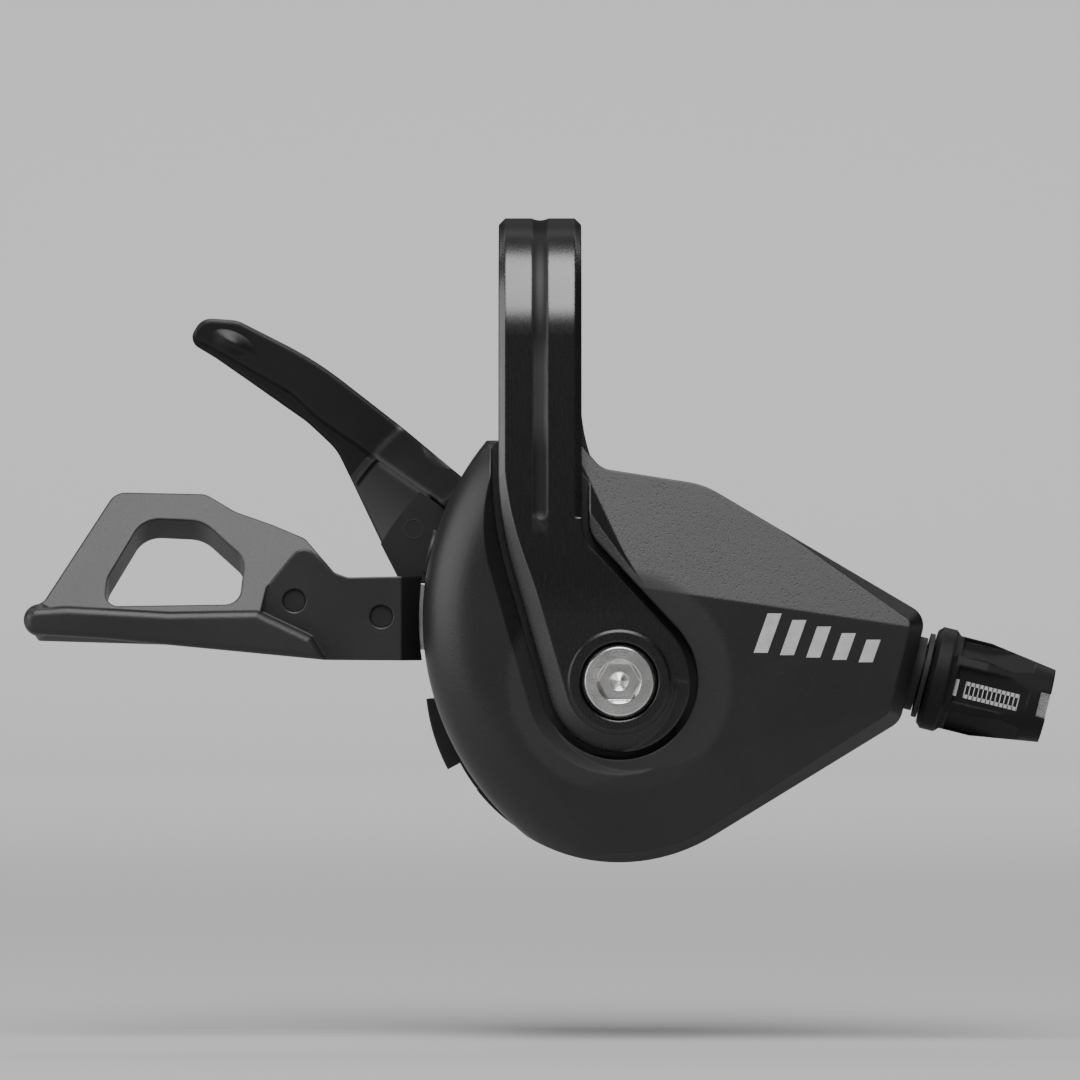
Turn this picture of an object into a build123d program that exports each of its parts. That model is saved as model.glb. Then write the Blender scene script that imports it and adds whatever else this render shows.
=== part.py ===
from build123d import *
import math
import os

# Trigger gear shifter for a 22.2 mm handlebar, right hand, twelve steps.
# Millimetres. X runs along the handlebar, Z is up, Y runs away from the front cover.
# The origin is the middle of the clamp band's bore.

# Handlebar clamp
BAR_DIAMETER = 22.2
BAR_CLEARANCE = 0.25
BAND_WIDTH = 8.9
BAND_THICKNESS = 2.8
BAND_EDGE = 0.7
EDGE_BEVEL_LENGTH = 19.6
GROOVE_DEPTH = 0.22
GROOVE_RADIUS = 2.0
GROOVE_LENGTH = 19.0
ARM_BEND_DROP = 25.5
ARM_BEND_RADIUS = 80.0
ARM_TURN_LEFT = 18.5
ARM_TURN_RIGHT = 20.5
ARM_TURN_LEFT_RADIUS = 38.0
ARM_TURN_RIGHT_RADIUS = 4.0
EYE_RADIUS = 7.6
EYE_BOSS_RADIUS = 5.4
EYE_BOSS_HEIGHT = 0.6
ARM_BEVEL_DEPTH = 1.6
ARM_BEVEL_TAPER = 48.0
ARM_CREASE_LEFT = 0.5
ARM_CREASE_END = (-2.05, 6.35)
ARM_FACET_TILT = 8.0
ARM_FACET_DROP = 2.5
REAR_BEND_DROP = 13.0
REAR_TURN_LEFT = 12.0
REAR_TURN_RIGHT = 9.5
REAR_TURN_RADIUS = 20.0
REAR_EYE_RADIUS = 6.8
FLAT_GAP = 0.2

# Main axle and clamp bolt
AXLE_X = 8.45
AXLE_DROP = 35.95
AXLE_RADIUS = 4.0
AXLE_TAIL_RADIUS = 3.0
AXLE_THREAD_DEPTH = 9.0
RUNNING_FIT = 0.05
BOLT_RADIUS = 2.4
BOLT_HOLE_FIT = 0.1
BOLT_HEAD_RADIUS = 3.9
BOLT_HEAD_HEIGHT = 2.4
BOLT_HEAD_FIT = 0.3
BOLT_LENGTH = 8.0
BOLT_KEY = 4.0
BOLT_KEY_DEPTH = 1.9
BOLT_KEY_MOUTH = 0.35
BOLT_DRILL_POINT = 0.6
NUT_ACROSS = 10.0
NUT_HEIGHT = 3.2

# Stack along the axle, from the front cover to the back wall
ARM_BACK = -13.2
COVER_FACE = -15.0
COVER_FLOOR_WALL = 1.8
PLATE_THICKNESS = 1.4
PLATE_GAP = 0.2
DRUM_GAP = 0.4
REEL_THICKNESS = 5.2
RATCHET_THICKNESS = 3.0
SPRING_ROOM = 1.7
SPRING_THICKNESS = 0.9
MAIN_PLATE_THICKNESS = 1.8
LEVER_GAP = 0.4
RELEASE_PLATE_THICKNESS = 1.4
RELEASE_SPRING_ROOM = 1.4
BACK_WALL = 1.8
SLOT_GAP = 0.3

# Housing outline, front view; pairs are measured from the axle, to the right and up
HOUSING_RADIUS = 19.4
HOUSING_WALL = 1.8
LOBE_GROWTH = 10.6
LOBE_SHIFT = (8.95, 6.65)
LOBE_ROLL = 6.2
COVER_TOP_RISE = 0.9
SHOULDER = (-1.85, 22.75)
SHOULDER_ROUND = 2.5
RIDGE = (9.05, 21.05)
RIDGE_ROUND = 9.0
NOSE_ROUND = 2.2
REAR_EDGE = 1.2
NOSE_UP = 6.3
NOSE_DOWN = 5.4
SKIRT_INSET = 1.5
SKIRT_HEIGHT = 2.4
NECK_LEFT = 3.0
NECK_RIGHT = 4.0
TAIL_SLOPE_START = 22.0
TAIL_SLOPE_DEPTH = 4.8
TAB_RISE = 1.5
TAB_START = 186.0
TAB_END = 208.0
SLOT_START = 112.0
NECK_FOOT_ANGLE = 116.0
SLOT_END = 218.0
CHANNEL_GAP = 0.8
CHANNEL_BEVEL = 1.6
CHANNEL_BEVEL_DEPTH = 1.2
CREASE_LEFT = (2.25, 10.05)
CREASE_RIGHT = (30.05, 5.95)
CREASE_RIM = (-3.65, 16.65)
FACET_TILT = 16.0
RIM_TILT = 9.0
RIM_WALL_TILT = 40.0
RIM_ROUND = 4.0
LOWER_CREASE_LEFT = (4.05, -9.25)
LOWER_CREASE_RIGHT = (29.65, -2.75)
LOWER_FACET_TILT = 5.0
SCREW_ANGLES = (27.7, -20.5)
SCREW_INSET = 1.9
SCREW_RADIUS = 1.2
SCREW_HEAD_RADIUS = 2.3
SCREW_HEAD_HEIGHT = 1.6
SCREW_GRIP = 6.0
SCREW_SEAT_WALL = 2.2

# Indexing mechanism
TOOTH_PITCH = 20.0
TOOTH_HEIGHT = 1.4
TOOTH_BACKLASH = 1.5
REEL_STEP = 0.6
CABLE_RADIUS = 8.45
CABLE_DIAMETER = 1.2
CABLE_GROOVE_FIT = 0.25
NIPPLE_RADIUS = 2.3
REEL_POCKET_RADIUS = 7.4
REEL_POCKET_DEPTH = 1.3
REEL_HUB_RADIUS = 4.4
NIPPLE_ANGLE = 200.0
PAWL_PIN_INSET = 2.4
PAWL_PIN_RISE = 2.6
PAWL_PIN_RADIUS = 1.2
PAWL_HUB_RADIUS = 2.0
PAWL_NOSE_GAP = 0.35
PAWL_NOSE_HEIGHT = 1.4
PAWL_REACH = 22.0
PAWL_BELLY = 1.6
PAWL_SIDE_GAP = 0.25
FEED_PAWL_ANGLE = 90.0
HOLD_PAWL_ANGLE = 290.0
PILLAR_ANGLES = (20.0, 250.0, 340.0)
PILLAR_INSET = 2.0
PILLAR_RADIUS = 1.3
SPRING_WIRE = 0.7
SPRING_PITCH = 1.3
SPRING_START = 5.0
SPRING_HALF_TURNS = 5
REEL_SPRING_WIRE = 0.5
REEL_SPRING_PITCH = 0.9
REEL_SPRING_HALF_TURNS = 4
PAWL_SPRING_WIRE = 0.35
PAWL_SPRING_PITCH = 0.55
PAWL_SPRING_HALF_TURNS = 3

# Main lever
MAIN_HUB_RADIUS = 7.0
MAIN_LUG_RADIUS = 2.1
LUG_HALF_ANGLE = 5.0
LUG_FOOT_RIGHT = 30.0
LUG_FOOT_LEFT = 40.0
MAIN_ARM_ROOT = 6.0
MAIN_ARM_ROOT_TOP = 105.0
MAIN_ARM_ROOT_BOTTOM = 225.0
PADDLE_ARM_THICKNESS = 3.1
PADDLE_LEAN = 27.0
PADDLE_FRAME_THICKNESS = 4.6
PADDLE_FOOT_RISE = 6.45
PADDLE_FOOT_DEPTH = -4.4
PADDLE_EDGE = 0.9
BLADE_TIP = (-62.35, 6.45)
BLADE_TIP_RADIUS = 1.75
BLADE_FRONT = -5.2
BLADE_BACK = 6.5
LEVER_SIDE_GAP = 0.5
LEDGE_LEFT = (-38.9, 7.5)
LEDGE_RIGHT = (-33.0, 4.7)
LEDGE_TILT = 62.0
ARM_END_TOP = (-23.4, 12.0)
ARM_END_BOTTOM = (-23.4, 0.0)
ARM_END_TILT = 55.0
MAIN_ARM_END = ((-36.95, 10.55), (-36.95, 4.55))
MAIN_ARM = ((-20.45, 10.35), *MAIN_ARM_END, (-20.45, 3.15))
MAIN_ARM_POCKET = ((-16.45, 10.75), *MAIN_ARM_END, (-16.45, 2.75))
PADDLE_FRAME = (
    (-63.45, 7.55),
    (-61.85, 8.55),
    (-54.45, 20.25),
    (-44.65, 20.05),
    (-41.45, 18.15),
    (-37.45, 16.75),
    (-33.85, 15.25),
    (-30.45, 11.35),
    (-28.45, 4.95),
    (-62.45, 5.95),
)
PADDLE_FRAME_ROUND = (0, 1.0, 2.0, 2.0, 4.0, 4.0, 2.0, 3.0, 0, 0)
PADDLE_WINDOW = (
    (-55.35, 7.95),
    (-55.15, 10.95),
    (-51.35, 17.45),
    (-44.95, 17.15),
    (-40.35, 13.05),
    (-40.85, 8.15),
)
PADDLE_WINDOW_ROUND = (1.4, 2.4, 3.0, 3.6, 2.4, 1.8)
PADDLE_BLADE = (
    (-63.95, 7.65),
    (-59.45, 7.95),
    (-48.45, 7.35),
    LEDGE_LEFT,
    LEDGE_RIGHT,
    (-31.45, 2.15),
    (-55.45, 4.45),
    (-63.75, 4.95),
)
PADDLE_BLADE_ROUND = (1.2, 4.0, 4.0, 0, 0, 0, 8.0, 1.2)
PADDLE_ARM = (
    (-37.95, 9.95),
    (-34.05, 14.75),
    (-30.65, 11.55),
    (-29.25, 11.05),
    (-18.45, 11.25),
    (-18.45, 2.05),
    (-31.95, 2.15),
    (-39.45, 3.35),
)
PADDLE_ARM_ROUND = (1.5, 1.5, 1.5, 1.5, 0, 0, 4.0, 1.0)
MAIN_RIVETS = ((-34.95, 8.55), (-25.55, 6.85))
RIVET_RADIUS = 0.95
RIVET_HEAD_RADIUS = 1.2
RIVET_HEAD_HEIGHT = 0.5
RIVET_SINK = 0.35

# Release lever
RELEASE_HUB_RADIUS = 6.5
TRIGGER_ROOT_GAP = 3.0
TRIGGER_ROOT_LENGTH = 4.6
RIVET_LAP = 7.2
RELEASE_SWING = 10.0
TRIGGER_ROOT_THICKNESS = 2.4
TRIGGER_CRANK_END = 36.0
TRIGGER_PAD_FRONT = 11.7
TRIGGER_EDGE = 1.2
TRIGGER_STEP = 0.5
TRIGGER_CREASE = ((-60.0, 44.0), (-44.5, 36.2), (-35.6, 31.1), (-32.6, 28.3), (-12.0, 14.0))
TRIGGER_CREASE_ROUND = (0, 6.0, 6.0, 6.0, 0, 0, 0)
TRIGGER_PAD_WIDTH = 6.4
TRIGGER_TIP_REACH = 62.0
TRIGGER_RIVETS = ((-22.15, 16.25), (-18.6, 15.6))
RELEASE_WEB = ((-3.95, 4.95), (-12.2, 13.9), (-32.6, 28.05), (-23.85, 11.05), (-3.45, -2.05))
TRIGGER_SHAPE = (
    (-13.95, 19.45),
    (-23.45, 27.35),
    (-32.95, 34.75),
    (-41.45, 39.05),
    (-45.35, 39.35),
    (-46.85, 36.75),
    (-43.85, 34.95),
    (-40.25, 32.45),
    (-33.85, 27.95),
    (-30.65, 24.95),
    (-23.85, 11.05),
    (-14.45, 5.95),
)
TRIGGER_ROUND = (0, 40.0, 40.0, 3.0, 2.0, 1.3, 3.0, 20.0, 8.0, 6.0, 0, 0)

# Cable adjuster
CABLE_TILT = 14.0
NOSE_REACH = 30.2
INSERT_RADIUS = 4.0
INSERT_DEPTH = 9.0
INSERT_NECK = 1.0
KNOB_LENGTH = 13.2
KNOB_COLLAR_RADIUS = 5.6
KNOB_COLLAR_LENGTH = 2.0
KNOB_WAIST_RADIUS = 5.1
KNOB_TIP_RADIUS = 4.0
KNOB_WAIST_LENGTH = 5.9
KNOB_EDGE = 0.5
KNOB_FACES = 6
KNOB_FLAT = 4.75
PANEL_LENGTH = 8.0
PANEL_WIDTH = 4.0
PANEL_START = 2.9
PANEL_DEPTH = 0.55
NOTCH_WIDTH = 2.8
NOTCH_LENGTH = 1.1
ADJUSTER_RADIUS = 2.95
ADJUSTER_HEAD_RADIUS = 3.2
ADJUSTER_FLAT = 2.9
ADJUSTER_FIT = 0.06
SOCKET_RADIUS = 2.55
SOCKET_DEPTH = 6.0
CABLE_BORE_RADIUS = 1.0
CABLE_PASSAGE_RADIUS = 1.6
DETENT_RADIUS = 4.6
DETENT_THICKNESS = 0.5
CAP_RADIUS = 2.5
CAP_FIT = 0.05
CAP_SLOT = 0.9
CAP_SINK = 1.2
CAP_LENGTH = 5.0

# Worked out from the sizes above
BAR_RADIUS = BAR_DIAMETER / 2
AXLE = (AXLE_X, -AXLE_DROP)
LOBE = (AXLE_X + LOBE_SHIFT[0], -AXLE_DROP + LOBE_SHIFT[1])
LOBE_RADIUS = HOUSING_RADIUS + LOBE_GROWTH
CHANNEL_FLOOR = ARM_BACK + FLAT_GAP
COVER_INSIDE = CHANNEL_FLOOR + COVER_FLOOR_WALL
FRONT_PLATE_FRONT = COVER_INSIDE + PLATE_GAP
FRONT_PLATE_BACK = FRONT_PLATE_FRONT + PLATE_THICKNESS
REEL_FRONT = FRONT_PLATE_BACK + DRUM_GAP
REEL_BACK = REEL_FRONT + REEL_THICKNESS
RATCHET_BACK = REEL_BACK + RATCHET_THICKNESS
MAIN_PLATE_FRONT = RATCHET_BACK + SPRING_ROOM
MAIN_PLATE_BACK = MAIN_PLATE_FRONT + MAIN_PLATE_THICKNESS
RELEASE_PLATE_FRONT = MAIN_PLATE_BACK + LEVER_GAP
RELEASE_PLATE_BACK = RELEASE_PLATE_FRONT + RELEASE_PLATE_THICKNESS
BASE_PLATE_FRONT = RELEASE_PLATE_BACK + RELEASE_SPRING_ROOM
BASE_PLATE_BACK = BASE_PLATE_FRONT + PLATE_THICKNESS
HOUSING_INSIDE = BASE_PLATE_BACK + PLATE_GAP
HOUSING_BACK = HOUSING_INSIDE + BACK_WALL
REAR_LEG_FRONT = HOUSING_BACK + FLAT_GAP
REAR_LEG_BACK = REAR_LEG_FRONT + BAND_THICKNESS
PARTING = MAIN_PLATE_FRONT - SLOT_GAP
SCREW_SEAT = PARTING + SCREW_SEAT_WALL
SLOT_BACK = RELEASE_PLATE_BACK + LEVER_GAP
CABLE_DEPTH = (REEL_FRONT + REEL_BACK) / 2
CAVITY_RADIUS = HOUSING_RADIUS - HOUSING_WALL
PILLAR_AT = CAVITY_RADIUS - PILLAR_INSET
PAWL_PIN_AT = CAVITY_RADIUS - PAWL_PIN_INSET
SCREW_AT = CAVITY_RADIUS + SCREW_INSET
TOOTH_TIP_RADIUS = PAWL_PIN_AT - PAWL_PIN_RISE
TOOTH_ROOT_RADIUS = TOOTH_TIP_RADIUS - TOOTH_HEIGHT
PAWL_NOSE_RADIUS = TOOTH_TIP_RADIUS + PAWL_NOSE_GAP
REEL_RADIUS = TOOTH_ROOT_RADIUS - REEL_STEP
TRIGGER_ROOT = HOUSING_RADIUS + TRIGGER_ROOT_GAP
RELEASE_PLATE_REACH = TRIGGER_ROOT + RIVET_LAP
TRIGGER_CRANK_START = TRIGGER_ROOT + TRIGGER_ROOT_LENGTH
CAP_NEAR = HOUSING_RADIUS - CAP_SINK
CAP_FAR = CAP_NEAR + CAP_LENGTH
EYE_FRONT = ARM_BACK - BAND_THICKNESS
WORK = 90.0


def front_plane(depth):
    """Plane of a front view at one depth, facing the front cover."""
    return Plane(origin=(0, depth, 0), x_dir=(1, 0, 0), z_dir=(0, -1, 0))


def slab(outline, front, back):
    """Solid with a front-view outline between two depths."""
    return extrude(front_plane(back) * outline, amount=back - front)


def disc(place, radius, front, back):
    """Round bar along Y at one place of the front view."""
    return slab(Pos(*place) * Circle(radius), front, back)


def outline(points, radii=0):
    """Closed front-view outline with rounded corners."""
    return make_face(FilletPolyline(*points, radius=radii, close=True))


def around_axle(radius, angle):
    """Front-view point at a distance and an angle from the axle."""
    turn = math.radians(angle)
    return (AXLE[0] + radius * math.cos(turn), AXLE[1] + radius * math.sin(turn))


def from_axle(place):
    """Front-view point given by its distances from the axle."""
    return (AXLE[0] + place[0], AXLE[1] + place[1])


def axle_outline(points, radii=0):
    """Closed front-view outline whose corners are measured from the axle."""
    return outline([from_axle(point) for point in points], radii)


def sector(start, end):
    """Front-view wedge with its point on the axle."""
    middle = (start + end) / 2
    far = around_axle(2 * WORK, middle)
    return outline([AXLE, around_axle(WORK, start), far, around_axle(WORK, end)])


def tangent_point(point, centre, radius, side):
    """Where a line from a point touches a circle, on one side of it."""
    across = centre[0] - point[0]
    up = centre[1] - point[1]
    distance = math.hypot(across, up)
    direction = math.atan2(up, across) + side * math.asin(radius / distance)
    length = math.sqrt(distance**2 - radius**2)
    return (point[0] + length * math.cos(direction), point[1] + length * math.sin(direction))


def cable_point(along, above):
    """Front-view point in the cable's directions, measured from the axle."""
    turn = math.radians(CABLE_TILT)
    return (
        AXLE[0] + along * math.cos(turn) + above * math.sin(turn),
        AXLE[1] - along * math.sin(turn) + above * math.cos(turn),
    )


def cable_plane(along):
    """Plane across the cable at a distance from the axle, facing outwards."""
    place = cable_point(along, CABLE_RADIUS)
    turn = math.radians(CABLE_TILT)
    return Plane(
        origin=(place[0], CABLE_DEPTH, place[1]),
        x_dir=(0, -1, 0),
        z_dir=(math.cos(turn), 0, -math.sin(turn)),
    )


def cable_bar(radius, start, end):
    """Round bar on the cable's line."""
    return extrude(cable_plane(start) * Circle(radius), amount=end - start)


def bar_space():
    """The room of the handlebar, with its clearance."""
    return extrude(Plane.YZ * Circle(BAR_RADIUS + BAR_CLEARANCE), amount=WORK, both=True)


def turned(piece, angle):
    """A piece turned about the axle, counter-clockwise in the front view."""
    return Pos(AXLE[0], 0, AXLE[1]) * Rot(0, -angle, 0) * Pos(-AXLE[0], 0, -AXLE[1]) * piece


def leg_lean(out, drop):
    """Angle above the bar's middle where a leg's inner face leaves the bar."""
    reach = math.hypot(out, drop)
    return math.acos(BAR_RADIUS / reach) - math.atan2(drop, out)


def band_side():
    """Side view of the band: front leg, loop over the bar, rear leg."""
    front = leg_lean(-ARM_BACK, ARM_BEND_DROP)
    rear = leg_lean(REAR_LEG_FRONT, REAR_BEND_DROP)
    outer = BAR_RADIUS + BAND_THICKNESS
    bottom = -AXLE_DROP - EYE_RADIUS * 2
    inner_front = [
        (ARM_BACK, bottom),
        (ARM_BACK, -ARM_BEND_DROP),
        (-BAR_RADIUS * math.cos(front), BAR_RADIUS * math.sin(front)),
    ]
    inner_rear = [
        (BAR_RADIUS * math.cos(rear), BAR_RADIUS * math.sin(rear)),
        (REAR_LEG_FRONT, -REAR_BEND_DROP),
        (REAR_LEG_FRONT, bottom),
    ]
    outer_rear = [
        (REAR_LEG_BACK, bottom),
        (REAR_LEG_BACK, -REAR_BEND_DROP + BAND_THICKNESS * math.tan(rear / 2)),
        (outer * math.cos(rear), outer * math.sin(rear)),
    ]
    outer_front = [
        (-outer * math.cos(front), outer * math.sin(front)),
        (EYE_FRONT, -ARM_BEND_DROP + BAND_THICKNESS * math.tan(front / 2)),
        (EYE_FRONT, bottom),
    ]
    edges = [
        FilletPolyline(*inner_front, radius=ARM_BEND_RADIUS),
        ThreePointArc(inner_front[-1], (0, BAR_RADIUS), inner_rear[0]),
        Polyline(*inner_rear),
        Line(inner_rear[-1], outer_rear[0]),
        Polyline(*outer_rear),
        ThreePointArc(outer_rear[-1], (0, outer), outer_front[0]),
        FilletPolyline(*outer_front, radius=ARM_BEND_RADIUS + BAND_THICKNESS),
        Line(outer_front[-1], inner_front[0]),
    ]
    return extrude(Plane.YZ * make_face(edges), amount=WORK, both=True)


def leg_outline(turn_left, turn_right, radius_left, radius_right, eye):
    """Front view of a leg: straight strip, turn and round eye on the axle."""
    half = BAND_WIDTH / 2
    left = (-half, -turn_left)
    right = (half, -turn_right)
    corners = [
        (-half, WORK),
        (half, WORK),
        right,
        tangent_point(right, AXLE, eye, 1),
        AXLE,
        tangent_point(left, AXLE, eye, -1),
        left,
    ]
    strip = outline(corners, [0, 0, radius_right, 0, 0, 0, radius_left])
    return strip + Pos(*AXLE) * Circle(eye)


def arm_outline():
    """Front view of the arm that lies on the cover."""
    return leg_outline(
        ARM_TURN_LEFT, ARM_TURN_RIGHT, ARM_TURN_LEFT_RADIUS, ARM_TURN_RIGHT_RADIUS, EYE_RADIUS
    )


def rear_leg_outline():
    """Front view of the leg behind the housing."""
    return leg_outline(
        REAR_TURN_LEFT, REAR_TURN_RIGHT, REAR_TURN_RADIUS, REAR_TURN_RADIUS, REAR_EYE_RADIUS
    )


def leg_plane():
    """Plane across the band where the front leg leaves the loop, facing down the leg."""
    front = leg_lean(-ARM_BACK, ARM_BEND_DROP)
    return Plane(origin=(0, 0, 0), x_dir=(1, 0, 0), z_dir=(0, -math.sin(front), -math.cos(front)))


def along_band(section, length):
    """A section carried round the loop and a given length down the front leg."""
    lean = leg_lean(-ARM_BACK, ARM_BEND_DROP) + leg_lean(REAR_LEG_FRONT, REAR_BEND_DROP)
    loop = revolve(leg_plane() * section, Axis((0, 0, 0), (-1, 0, 0)), 180 - math.degrees(lean))
    return loop + extrude(leg_plane() * section, amount=length)


def edge_bevel(side, length):
    """What a bevel takes off one outer edge: round the loop and some way down the front leg."""
    corner = Pos(side * BAND_WIDTH / 2, BAR_RADIUS + BAND_THICKNESS)
    section = corner * Rot(0, 0, 45) * Rectangle(BAND_EDGE * math.sqrt(2), BAND_EDGE * math.sqrt(2))
    return along_band(section, length)


def band_groove():
    """What the round groove takes off the outer face, with a round end on the front leg."""
    centre = Pos(0, BAR_RADIUS + BAND_THICKNESS + GROOVE_RADIUS - GROOVE_DEPTH)
    end = leg_plane() * centre * Pos(0, 0, GROOVE_LENGTH) * Sphere(GROOVE_RADIUS)
    return along_band(centre * Circle(GROOVE_RADIUS), GROOVE_LENGTH) + end


def leg_front(height):
    """Depth of the front leg's outer face at one height above its bend."""
    lean = leg_lean(-ARM_BACK, ARM_BEND_DROP)
    bend = -ARM_BEND_DROP + BAND_THICKNESS * math.tan(lean / 2)
    return EYE_FRONT + (height - bend) * math.tan(lean)


def left_of_arm(face, depth, fade_start, fade_end):
    """Room left of the arm's middle and below the axle that grows shallow towards the right."""
    turn = (0, -ARM_TURN_LEFT)
    corners = [(0, 0), turn, AXLE, (WORK, AXLE[1]), (WORK, -WORK), (-WORK, -WORK), (-WORK, 0)]
    side = [
        (-WORK, face - depth),
        (-WORK, face + depth),
        (fade_start, face + depth),
        (fade_end, face),
        (fade_end, face - depth),
    ]
    return slab(outline(corners), -WORK, 0) & extrude(Plane.XY * outline(side), amount=WORK, both=True)


def arm_bevel():
    """What the bevel takes off the arm's left edge; it fades out round the eye's right side."""
    depth = EYE_FRONT + ARM_BEVEL_DEPTH
    kept = extrude(front_plane(depth) * arm_outline(), amount=2 * ARM_BEVEL_DEPTH, taper=ARM_BEVEL_TAPER)
    return left_of_arm(EYE_FRONT, ARM_BEVEL_DEPTH, AXLE_X, AXLE_X + EYE_RADIUS) - kept


def arm_facet():
    """What the slanted facet takes off the arm's right side, from the turn down past the eye."""
    start = Vector(-ARM_CREASE_LEFT, leg_front(-ARM_TURN_LEFT), -ARM_TURN_LEFT)
    end = Vector(AXLE[0] + ARM_CREASE_END[0], EYE_FRONT, AXLE[1] + ARM_CREASE_END[1])
    along = (end - start).normalized()
    across = along.cross(Vector(0, -1, 0)).normalized()
    plane = Plane(origin=start, x_dir=along, z_dir=along.cross(across)).rotated((ARM_FACET_TILT, 0, 0))
    front = plane * Box(WORK, WORK, WORK, align=(Align.CENTER, Align.CENTER, Align.MIN))
    corners = [
        (start.X, start.Z),
        (BAND_WIDTH / 2, -ARM_TURN_RIGHT - ARM_FACET_DROP),
        (WORK, -ARM_TURN_RIGHT - ARM_FACET_DROP),
        (WORK, -WORK),
        (start.X + WORK * along.X, start.Z + WORK * along.Z),
    ]
    return front & slab(outline(corners), -WORK, 0)


def clamp_band():
    """Bent aluminium band: loop over the bar, arm to the bolt, leg to the nut."""
    side = band_side()
    front_half = side & slab(arm_outline(), -WORK, 0)
    rear_half = side & slab(rear_leg_outline(), 0, WORK)
    band = front_half + rear_half
    band -= edge_bevel(-1, WORK)
    band -= edge_bevel(1, EDGE_BEVEL_LENGTH)
    band -= band_groove()
    band -= arm_bevel()
    band -= arm_facet()
    band += disc(AXLE, EYE_BOSS_RADIUS, EYE_FRONT - EYE_BOSS_HEIGHT, ARM_BACK)
    seat = EYE_FRONT - EYE_BOSS_HEIGHT + BOLT_HEAD_HEIGHT
    band -= disc(AXLE, BOLT_HEAD_RADIUS + BOLT_HEAD_FIT, -WORK, seat)
    band -= disc(AXLE, BOLT_RADIUS + BOLT_HOLE_FIT, -WORK, 0)
    band -= disc(AXLE, AXLE_TAIL_RADIUS + RUNNING_FIT, 0, WORK)
    return band


def clamp_bolt():
    """Low-head socket screw that pulls the arm onto the axle."""
    front = EYE_FRONT - EYE_BOSS_HEIGHT
    seat = front + BOLT_HEAD_HEIGHT
    head = disc(AXLE, BOLT_HEAD_RADIUS, front, seat)
    head = chamfer(head.edges().sort_by(Axis.Y)[:1], BOLT_HEAD_FIT)
    bolt = head + disc(AXLE, BOLT_RADIUS, seat, seat + BOLT_LENGTH)
    key = RegularPolygon(BOLT_KEY / math.sqrt(3), 6)
    bottom = front + BOLT_KEY_DEPTH
    bolt -= slab(Pos(*AXLE) * key, -WORK, bottom)
    half = BOLT_KEY / 2
    up = (Align.CENTER, Align.CENTER, Align.MIN)
    mouth = Cone(half, half + 2 * BOLT_KEY_MOUTH, 2 * BOLT_KEY_MOUTH, align=up)
    bolt -= front_plane(front + BOLT_KEY_MOUTH) * Pos(*AXLE) * mouth
    point = Cone(0, half, 2 * BOLT_DRILL_POINT, align=up)
    return bolt - front_plane(bottom + BOLT_DRILL_POINT) * Pos(*AXLE) * point


def main_axle():
    """Hollow-fronted shaft that carries drum and levers and ties both legs of the band."""
    axle = disc(AXLE, AXLE_RADIUS, ARM_BACK, BASE_PLATE_FRONT)
    axle += disc(AXLE, AXLE_TAIL_RADIUS, BASE_PLATE_FRONT, REAR_LEG_BACK + NUT_HEIGHT)
    return axle - disc(AXLE, BOLT_RADIUS + RUNNING_FIT, -WORK, ARM_BACK + AXLE_THREAD_DEPTH)


def axle_nut():
    """Thin hexagon nut behind the rear leg."""
    hexagon = Pos(*AXLE) * RegularPolygon(NUT_ACROSS / math.sqrt(3), 6)
    nut = slab(hexagon, REAR_LEG_BACK, REAR_LEG_BACK + NUT_HEIGHT)
    return nut - disc(AXLE, AXLE_TAIL_RADIUS + RUNNING_FIT, -WORK, WORK)


def right_outline():
    """Front view of the housing right of the lobe: round drum room and pointed nose."""
    top = -BAR_RADIUS + COVER_TOP_RISE
    nose_top = cable_point(NOSE_REACH, CABLE_RADIUS + NOSE_UP)
    nose_bottom = cable_point(NOSE_REACH, CABLE_RADIUS - NOSE_DOWN)
    foot = tangent_point(nose_bottom, AXLE, HOUSING_RADIUS, 1)
    corners = [
        (-NECK_LEFT, top),
        (NECK_RIGHT, top),
        from_axle(SHOULDER),
        from_axle(RIDGE),
        nose_top,
        nose_bottom,
        foot,
        AXLE,
        around_axle(HOUSING_RADIUS, NECK_FOOT_ANGLE),
    ]
    radii = [0, 0, SHOULDER_ROUND, RIDGE_ROUND, NOSE_ROUND, NOSE_ROUND, 0, 0, 0]
    return outline(corners, radii) + Pos(*AXLE) * Circle(HOUSING_RADIUS)


def cover_outline():
    """Front view of the cover: the housing outline and room for the lobe beside the levers."""
    top = -BAR_RADIUS + COVER_TOP_RISE
    far = LOBE[0] - LOBE_RADIUS - 2 * SKIRT_INSET
    low = around_axle(HOUSING_RADIUS, TAB_END)
    return right_outline() + outline([(far, top), (0, top), AXLE, low, (far, low[1])])


def facet_cut(left, right, tilt, side, face=COVER_FACE):
    """Wedge in front of a facet that starts at a crease and falls away above or below it."""
    start = from_axle(left)
    heading = math.degrees(math.atan2(right[1] - left[1], right[0] - left[0]))
    height = 2 * HOUSING_RADIUS
    depth = height * math.tan(math.radians(tilt))
    corners = [(0, 0), (-height, 0), (-height, side * height), (depth, side * height)]
    wedge = extrude(Plane.YZ * outline(corners), amount=WORK, both=True)
    return Pos(start[0], face, start[1]) * Rot(0, -heading, 0) * wedge


def upper_scoop():
    """What the upper facet takes off: a slope above the crease, rounded up to the channel's rim."""
    scoop = facet_cut(CREASE_LEFT, CREASE_RIGHT, FACET_TILT, 1)
    scoop &= facet_cut(CREASE_RIM, CREASE_LEFT, RIM_WALL_TILT, 1)
    rim = from_axle(CREASE_RIM)
    valley = scoop.edges().sort_by_distance((rim[0], COVER_FACE, rim[1]))[0]
    return fillet(valley, RIM_ROUND)


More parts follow.
